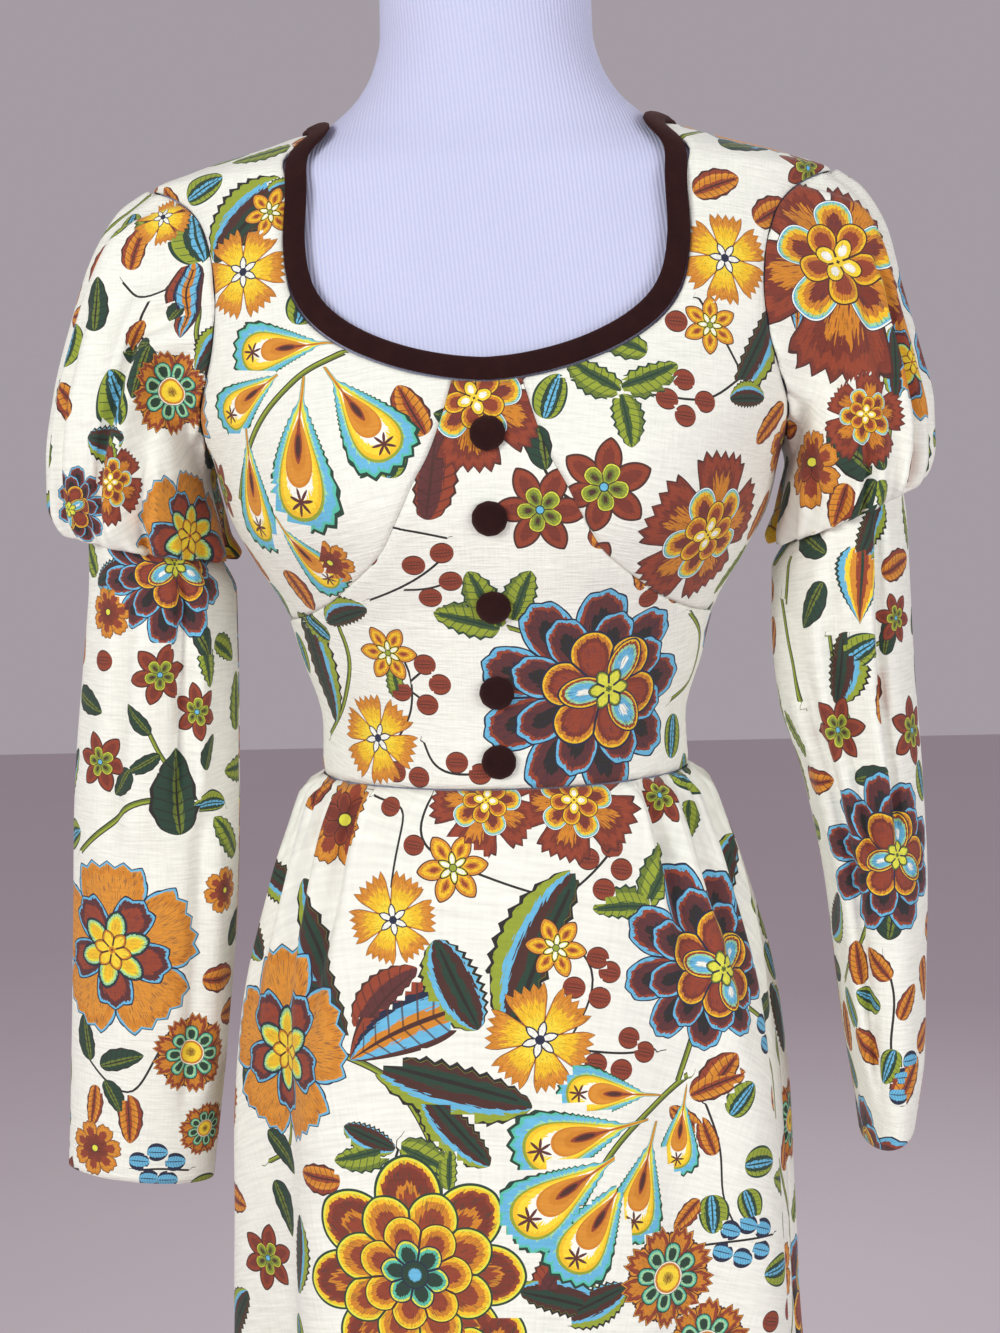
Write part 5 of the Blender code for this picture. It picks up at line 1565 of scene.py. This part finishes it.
def add_repeat(motifs, panel, number):
    """Fills a panel with the repeat wherever no placed motif lies, and its gaps with fillers."""
    low, high = panel.flat.min(axis=0), panel.flat.max(axis=0)
    placed = taken(motifs)

    def free(place, radius):
        apart = np.hypot(placed[:, 0] - place[0], placed[:, 1] - place[1])
        return np.all(apart > (radius + placed[:, 2]) * CLOSENESS)

    start = low - REPEAT_SHIFT * number % REPEAT - REPEAT
    steps = ((high - low) / REPEAT).astype(int) + 3
    for corner in (start + REPEAT * step for step in np.ndindex(*steps)):
        for kind, rows in REPEAT_FLOWERS.items():
            for x, y, across in rows:
                place = corner + (x / 1000, y / 1000)
                radius = across / 2000 * scale_at(panel, place)
                if free(place, radius):
                    motifs.flowers.append((kind, place, radius, REPEAT_TURN * x))
        for kind, rows in REPEAT_LEAVES.items():
            for x, y, length, width, turn, bend in rows:
                place = corner + (x / 1000, y / 1000)
                scale = scale_at(panel, place)
                length, width = length / 1000 * scale, width / 1000 * scale
                if free(place + heading_of(turn) * length / 2, length * LEAF_ROOM):
                    motifs.leaves.append((kind, place, length, width, turn, bend))
        for width, route in REPEAT_STEMS:
            route = corner + np.array(route) / 1000
            if all(free(place, STEM_GAP) for place in route):
                motifs.stems.append((width / 1000, route))
    placed = taken(motifs)
    across, up = np.meshgrid(
        np.arange(low[0], high[0], FILLER_STEP), np.arange(low[1], high[1], FILLER_STEP))
    for count, place in enumerate(np.stack([across.ravel(), up.ravel()], 1)):
        place = place + FILLER_SCATTER * np.sin(np.array([12.9, 78.2]) * count)
        scale = scale_at(panel, place)
        turn = 137.5 * count % 360
        for kind, length, width in FILLERS[count % 4:]:
            length, width = length * scale, width * scale
            if free(place, length * FILLER_ROOM):
                stalk = place - heading_of(turn) * length / 2
                bend = 0.3 if kind == "curl" else 0.1
                motifs.leaves.append((kind, stalk, length, width, turn, bend))
                placed = np.vstack([placed, [*place, length * FILLER_ROOM]])
                break


def turned_by(offsets, turn):
    """Offsets on the cloth, as seen by a motif that is turned by this many degrees."""
    c, s = heading_of(turn)
    return offsets @ np.array([[c, -s], [s, c]])


def lay_flowers(panel, flowers):
    """Gives each face its place on the nearest flower, and that flower's material."""
    past_petals = 1.10
    nearest = np.full(len(panel.centres), past_petals)
    owner = np.full(len(panel.centres), -1)
    for number, (kind, place, radius, turn) in enumerate(flowers):
        offsets = turned_by(panel.centres - place, turn) / (radius, radius * OVAL.get(kind, 1))
        reach = np.hypot(*offsets.T)
        closer = reach < nearest
        nearest[closer], owner[closer] = reach[closer], number
    local = np.tile(HIDDEN, (len(panel.places), 1))
    slots = np.zeros(len(panel.centres), np.int32)
    for number, (kind, place, radius, turn) in enumerate(flowers):
        mine = owner == number
        slots[mine] = FLOWER_SLOT[kind]
        at = np.repeat(mine, 4)
        local[at] = turned_by(panel.places[at] - place, turn) / radius
    lay_map(panel.piece, "bloom", local)
    panel.piece.data.polygons.foreach_set("material_index", slots)


def lay_leaves(panel, leaves):
    """Gives each face its place on the nearest leaf and how that leaf is drawn."""
    margin = 0.0035
    nearest = np.ones(len(panel.centres))
    owner = np.full(len(panel.centres), -1)
    for number, (_, place, length, width, turn, bend) in enumerate(leaves):
        local = turned_by(panel.centres - place, turn)
        side = width * (1 + 0.5 * abs(bend)) + margin
        reach = ((local[:, 0] - length / 2) / (length / 2 + margin)) ** 2
        reach += ((local[:, 1] - bend * width * 0.5) / side) ** 2
        closer = reach < nearest
        nearest[closer], owner[closer] = reach[closer], number
    local = np.tile(HIDDEN, (len(panel.places), 1))
    form = np.tile((0.0, 1.0, 1.0), (len(panel.centres), 1))
    edge = np.zeros((len(panel.centres), 3))
    for number, (kind, place, length, width, turn, bend) in enumerate(leaves):
        mine = owner == number
        at = np.repeat(mine, 4)
        local[at] = turned_by(panel.places[at] - place, turn) / (length, width)
        skew, fullness, teeth, tooth = LEAVES[kind][1]
        form[mine] = (LEAF_NUMBER[kind], skew, fullness)
        edge[mine] = (bend, teeth, tooth)
    lay_map(panel.piece, "leaf", local)
    for name, values in (("leaf form", form), ("leaf edge", edge)):
        held = panel.piece.data.attributes.new(name, "FLOAT_VECTOR", "FACE")
        held.data.foreach_set("vector", values.astype(np.float32).reshape(-1))


def lay_stems(panel, stems):
    """Gives each face its place along and beside the nearest stem."""
    reach, end_room, spacing, rounds, thin_below = 0.0060, 0.003, 0.0015, 40, 0.0018
    nearest = np.full(len(panel.centres), reach)
    local = np.tile(HIDDEN, (len(panel.places), 1))
    for width, route in stems:
        knots = arc_lengths(route, 0)
        steps = max(12, int(knots[-1] / spacing))
        line = curve_through(knots, route, np.linspace(0, knots[-1], steps))
        for _ in range(rounds):
            line[1:-1] = (line[:-2] + 2 * line[1:-1] + line[2:]) / 4
        distance = np.hypot(*(panel.centres[:, None] - line[None]).transpose(2, 0, 1)).min(axis=1)
        closer = distance < nearest
        nearest[closer] = distance[closer]
        at = np.repeat(closer, 4)
        places = panel.places[at]
        step = np.hypot(*(places[:, None] - line[None]).transpose(2, 0, 1)).argmin(axis=1)
        heading = unit(np.gradient(line, axis=0)[step])
        offset = places - line[step]
        side = heading[:, 0] * offset[:, 1] - heading[:, 1] * offset[:, 0]
        past_end = np.abs((offset * heading).sum(1)) > end_room
        hidden = np.copysign(HIDDEN[0], side)
        run = step / len(line) + (THIN_STEM if width < thin_below else 0.0)
        local[at] = np.stack([run, np.where(past_end, hidden, side / (width / 2))], 1)
    lay_map(panel.piece, "stem", local)


def finish_panel(panel, motifs):
    """Prints a panel, sews a tube's seam, and gives the cloth its wall and wrong side."""
    piece = panel.piece
    cloth = piece.data.uv_layers["cloth"].uv
    cloth.foreach_set("vector", panel.places.astype(np.float32).reshape(-1))
    for material in linens:
        piece.data.materials.append(material)
    lay_stems(panel, motifs.stems)
    lay_leaves(panel, motifs.leaves)
    lay_flowers(panel, motifs.flowers)
    merge_points(piece)
    wall = piece.modifiers.new("cloth wall", "SOLIDIFY")
    wall.thickness = WALL
    wall.offset = -1
    wall.use_even_offset = False
    wall.material_offset = len(linens)
    bpy.ops.object.modifier_apply(modifier=wall.name)
    piece.data.shade_smooth()
    fit(piece, panel.node)


for panel_name, motifs in gather_layout().items():
    finish_panel(panels[panel_name], motifs)

# ---------------------------------------------------------------- the neck binding
# A bias strip of brown cotton velvet, folded over the neckline's raw edge and sewn down, so that
# it stands up as a soft rounded roll with a fine stitched line along its outer edge.
BINDING_WIDTH, BINDING_THICKNESS, BINDING_LIFT = 0.0123, 0.0040, 0.0004
BINDING_SEAM, STITCH_DEPTH = 0.0004, 0.0005
# VELVET_LIT is the velvet's brown with a painted sheen, for the patches where the pile catches the
# light.
VELVET_DEEP, VELVET_LIT = srgb(18, 6, 7), srgb(56, 24, 24)


def velvet(name, pile_scale):
    """Short brown pile: brushed patches with a painted sheen, lighter where the pile catches the
    light, over a deep ground.
    """
    material, tree, shader = new_finish(
        name, Roughness=0.95, Sheen_Weight=0.22, Sheen_Tint=(0.50, 0.24, 0.22, 1.0),
        Sheen_Roughness=0.45, Specular_IOR_Level=0.15)
    brushed_nap_and_sheen = speckle(tree, 110, detail=4, roughness=0.6)
    pile = speckle(tree, pile_scale)
    # painted sheen: the brushed patches lighten the velvet towards VELVET_LIT where its pile catches
    # the light
    colour = mixed(tree, brushed_nap_and_sheen * 0.7 + pile * 0.3, VELVET_DEEP, VELVET_LIT)
    coloured(tree, shader, colour, pile + brushed_nap_and_sheen * 0.4, 0.00045)
    return material


def make_binding():
    """A rounded roll swept round the whole neckline, a little uneven, with its stitched line."""
    sides = 20
    fine_middle = evenly(np.vstack([[[0.0, NECK_FRONT[0][1]]], [neck_corner]]), 8)
    half = np.vstack([fine_middle[:-1], neck_side[:-1], neck_rear])
    loop = np.vstack([half, half[-2:0:-1] * [-1, 1]])
    edge = body_points(*loop.T)
    face = outward(body_points, *loop.T)
    for _ in range(6):
        edge, face = [
            (np.roll(line, 1, axis=0) + 2 * line + np.roll(line, -1, axis=0)) / 4
            for line in (edge, face)]
    inward = unit(np.cross(face, np.roll(edge, -1, axis=0) - np.roll(edge, 1, axis=0)))
    middle = edge + inward * (BINDING_WIDTH / 2 + BINDING_SEAM) + face * BINDING_LIFT
    travelled = arc_lengths(edge, 0)
    swell = 1 + 0.05 * np.sin(travelled * 190) + 0.04 * np.sin(travelled * 83 + 1)
    rows = []
    for t in np.linspace(0, 2 * pi, sides + 1):
        out = np.sign(cos(t)) * abs(cos(t)) ** 0.8
        up = -np.sign(sin(t)) * abs(sin(t)) ** 0.8 * BINDING_THICKNESS / 2
        stitched = STITCH_DEPTH * bell(out + 0.72, 0.10) * (up > 0)
        rows.append(
            middle + inward * out * BINDING_WIDTH / 2 + face * (up * swell - stitched)[:, None])
    grid = np.array(rows)
    piece = grid_through("velvet_neck_binding", np.concatenate([grid, grid[:, :1]], axis=1))
    merge_points(piece)
    piece.data.materials.append(velvet("brown velvet, binding", 2600))
    fit(piece, "neck_binding")


make_binding()

# ---------------------------------------------------------------- the buttons
# Five self-covered buttons in the same velvet, drawn tight over a domed mould, sewn down the
# centre front by a shank behind. They are only for looks: there is no opening under them.
BUTTON_RADIUS, BUTTON_RISE, BUTTON_SEAT = 0.0093, 0.0058, 0.0006
BUTTON_HEIGHTS = (1.246, 1.203, 1.156, 1.109, 1.071)
# The button's outline from the crown round its full edge to the back: shares of radius and rise.
BUTTON_PROFILE = (
    (0.02, 1.0), (0.25, 0.985), (0.48, 0.93), (0.68, 0.82), (0.83, 0.66), (0.94, 0.45),
    (0.99, 0.28), (1.0, 0.17), (0.985, 0.08), (0.93, 0.02), (0.80, 0.0), (0.02, 0.0))


def make_button(number, height, finish):
    """A dome with a full edge that tucks under, lying on the panel."""
    middle = np.array(0.0), np.array(height)
    seat, normal = body_points(*middle), outward(body_points, *middle)
    reach = np.degrees(BUTTON_RADIUS / abs(seat[1]))
    turn = np.linspace(0, 2 * pi, 16)
    rim = body_points(reach * np.cos(turn), height + BUTTON_RADIUS * np.sin(turn))
    seat = seat + normal * (max(0.0, ((rim - seat) @ normal).max()) + BUTTON_SEAT)
    across = np.array([1.0, 0.0, 0.0])
    up = np.cross(normal, across)
    turn = np.linspace(0, 2 * pi, 49)
    rows = []
    for radius, rise in BUTTON_PROFILE[::-1]:
        spread = BUTTON_RADIUS * radius * (1 + 0.012 * np.sin(11 * turn + number) * (rise < 0.4))
        rows.append(
            seat + normal * BUTTON_RISE * rise
            + across * (spread * np.cos(turn))[:, None] + up * (spread * np.sin(turn))[:, None])
    piece = grid_through(f"velvet_button_{number}", np.array(rows))
    merge_points(piece, fill_ends=True)
    piece.data.materials.append(finish)
    fit(piece, f"button_{number}")


button_velvet = velvet("brown velvet, buttons", 3000)
for number, height in enumerate(BUTTON_HEIGHTS, start=1):
    make_button(number, height, button_velvet)

# ---------------------------------------------------------------- floor and light
# A plain pale floor under an even sky, a soft light from the left, a weaker one from the right
# and one from behind. Each light's place, size, power and colour.
BODICE = Vector((0.0, 0.0, 1.1))
LIGHTS = {
    "key light": ((-1.7, -2.2, 2.0), 1.3, 58, (0.93, 1.0, 0.965)),
    "fill light": ((2.0, -1.8, 1.5), 1.6, 37, (0.92, 1.0, 0.985)),
    "back light": ((0.6, 2.2, 2.2), 1.4, 18, (0.93, 1.0, 0.98)),
}


def make_floor():
    """The floor, with a very faint unevenness of colour."""
    bpy.ops.object.select_all(action="DESELECT")
    bpy.ops.mesh.primitive_plane_add(size=14, location=(0, 0, 0))
    floor = bpy.context.object
    floor.name = "studio_floor"
    material, tree, shader = new_finish("pale studio floor", Roughness=0.9)
    grain = speckle(tree, 3, detail=4)
    coloured(tree, shader, mixed(tree, grain, srgb(210, 198, 204), srgb(214, 202, 208)))
    floor.data.materials.append(material)


def make_lights():
    """Soft square lights turned towards the bodice, and the sky."""
    for name, (place, size, power, colour) in LIGHTS.items():
        bpy.ops.object.light_add(type="AREA", location=place)
        light = bpy.context.object
        light.name = name
        light.data.size = size
        light.data.energy = power
        light.data.color = colour
        light.rotation_mode = "QUATERNION"
        light.rotation_quaternion = (BODICE - Vector(place)).to_track_quat("-Z", "Y")
    world = bpy.data.worlds.new("soft studio air")
    bpy.context.scene.world = world
    world.use_nodes = True
    background = world.node_tree.nodes["Background"]
    background.inputs["Color"].default_value = srgb(204, 194, 202)
    background.inputs["Strength"].default_value = 0.62


make_floor()
make_lights()
bpy.context.scene.view_settings.view_transform = "Standard"
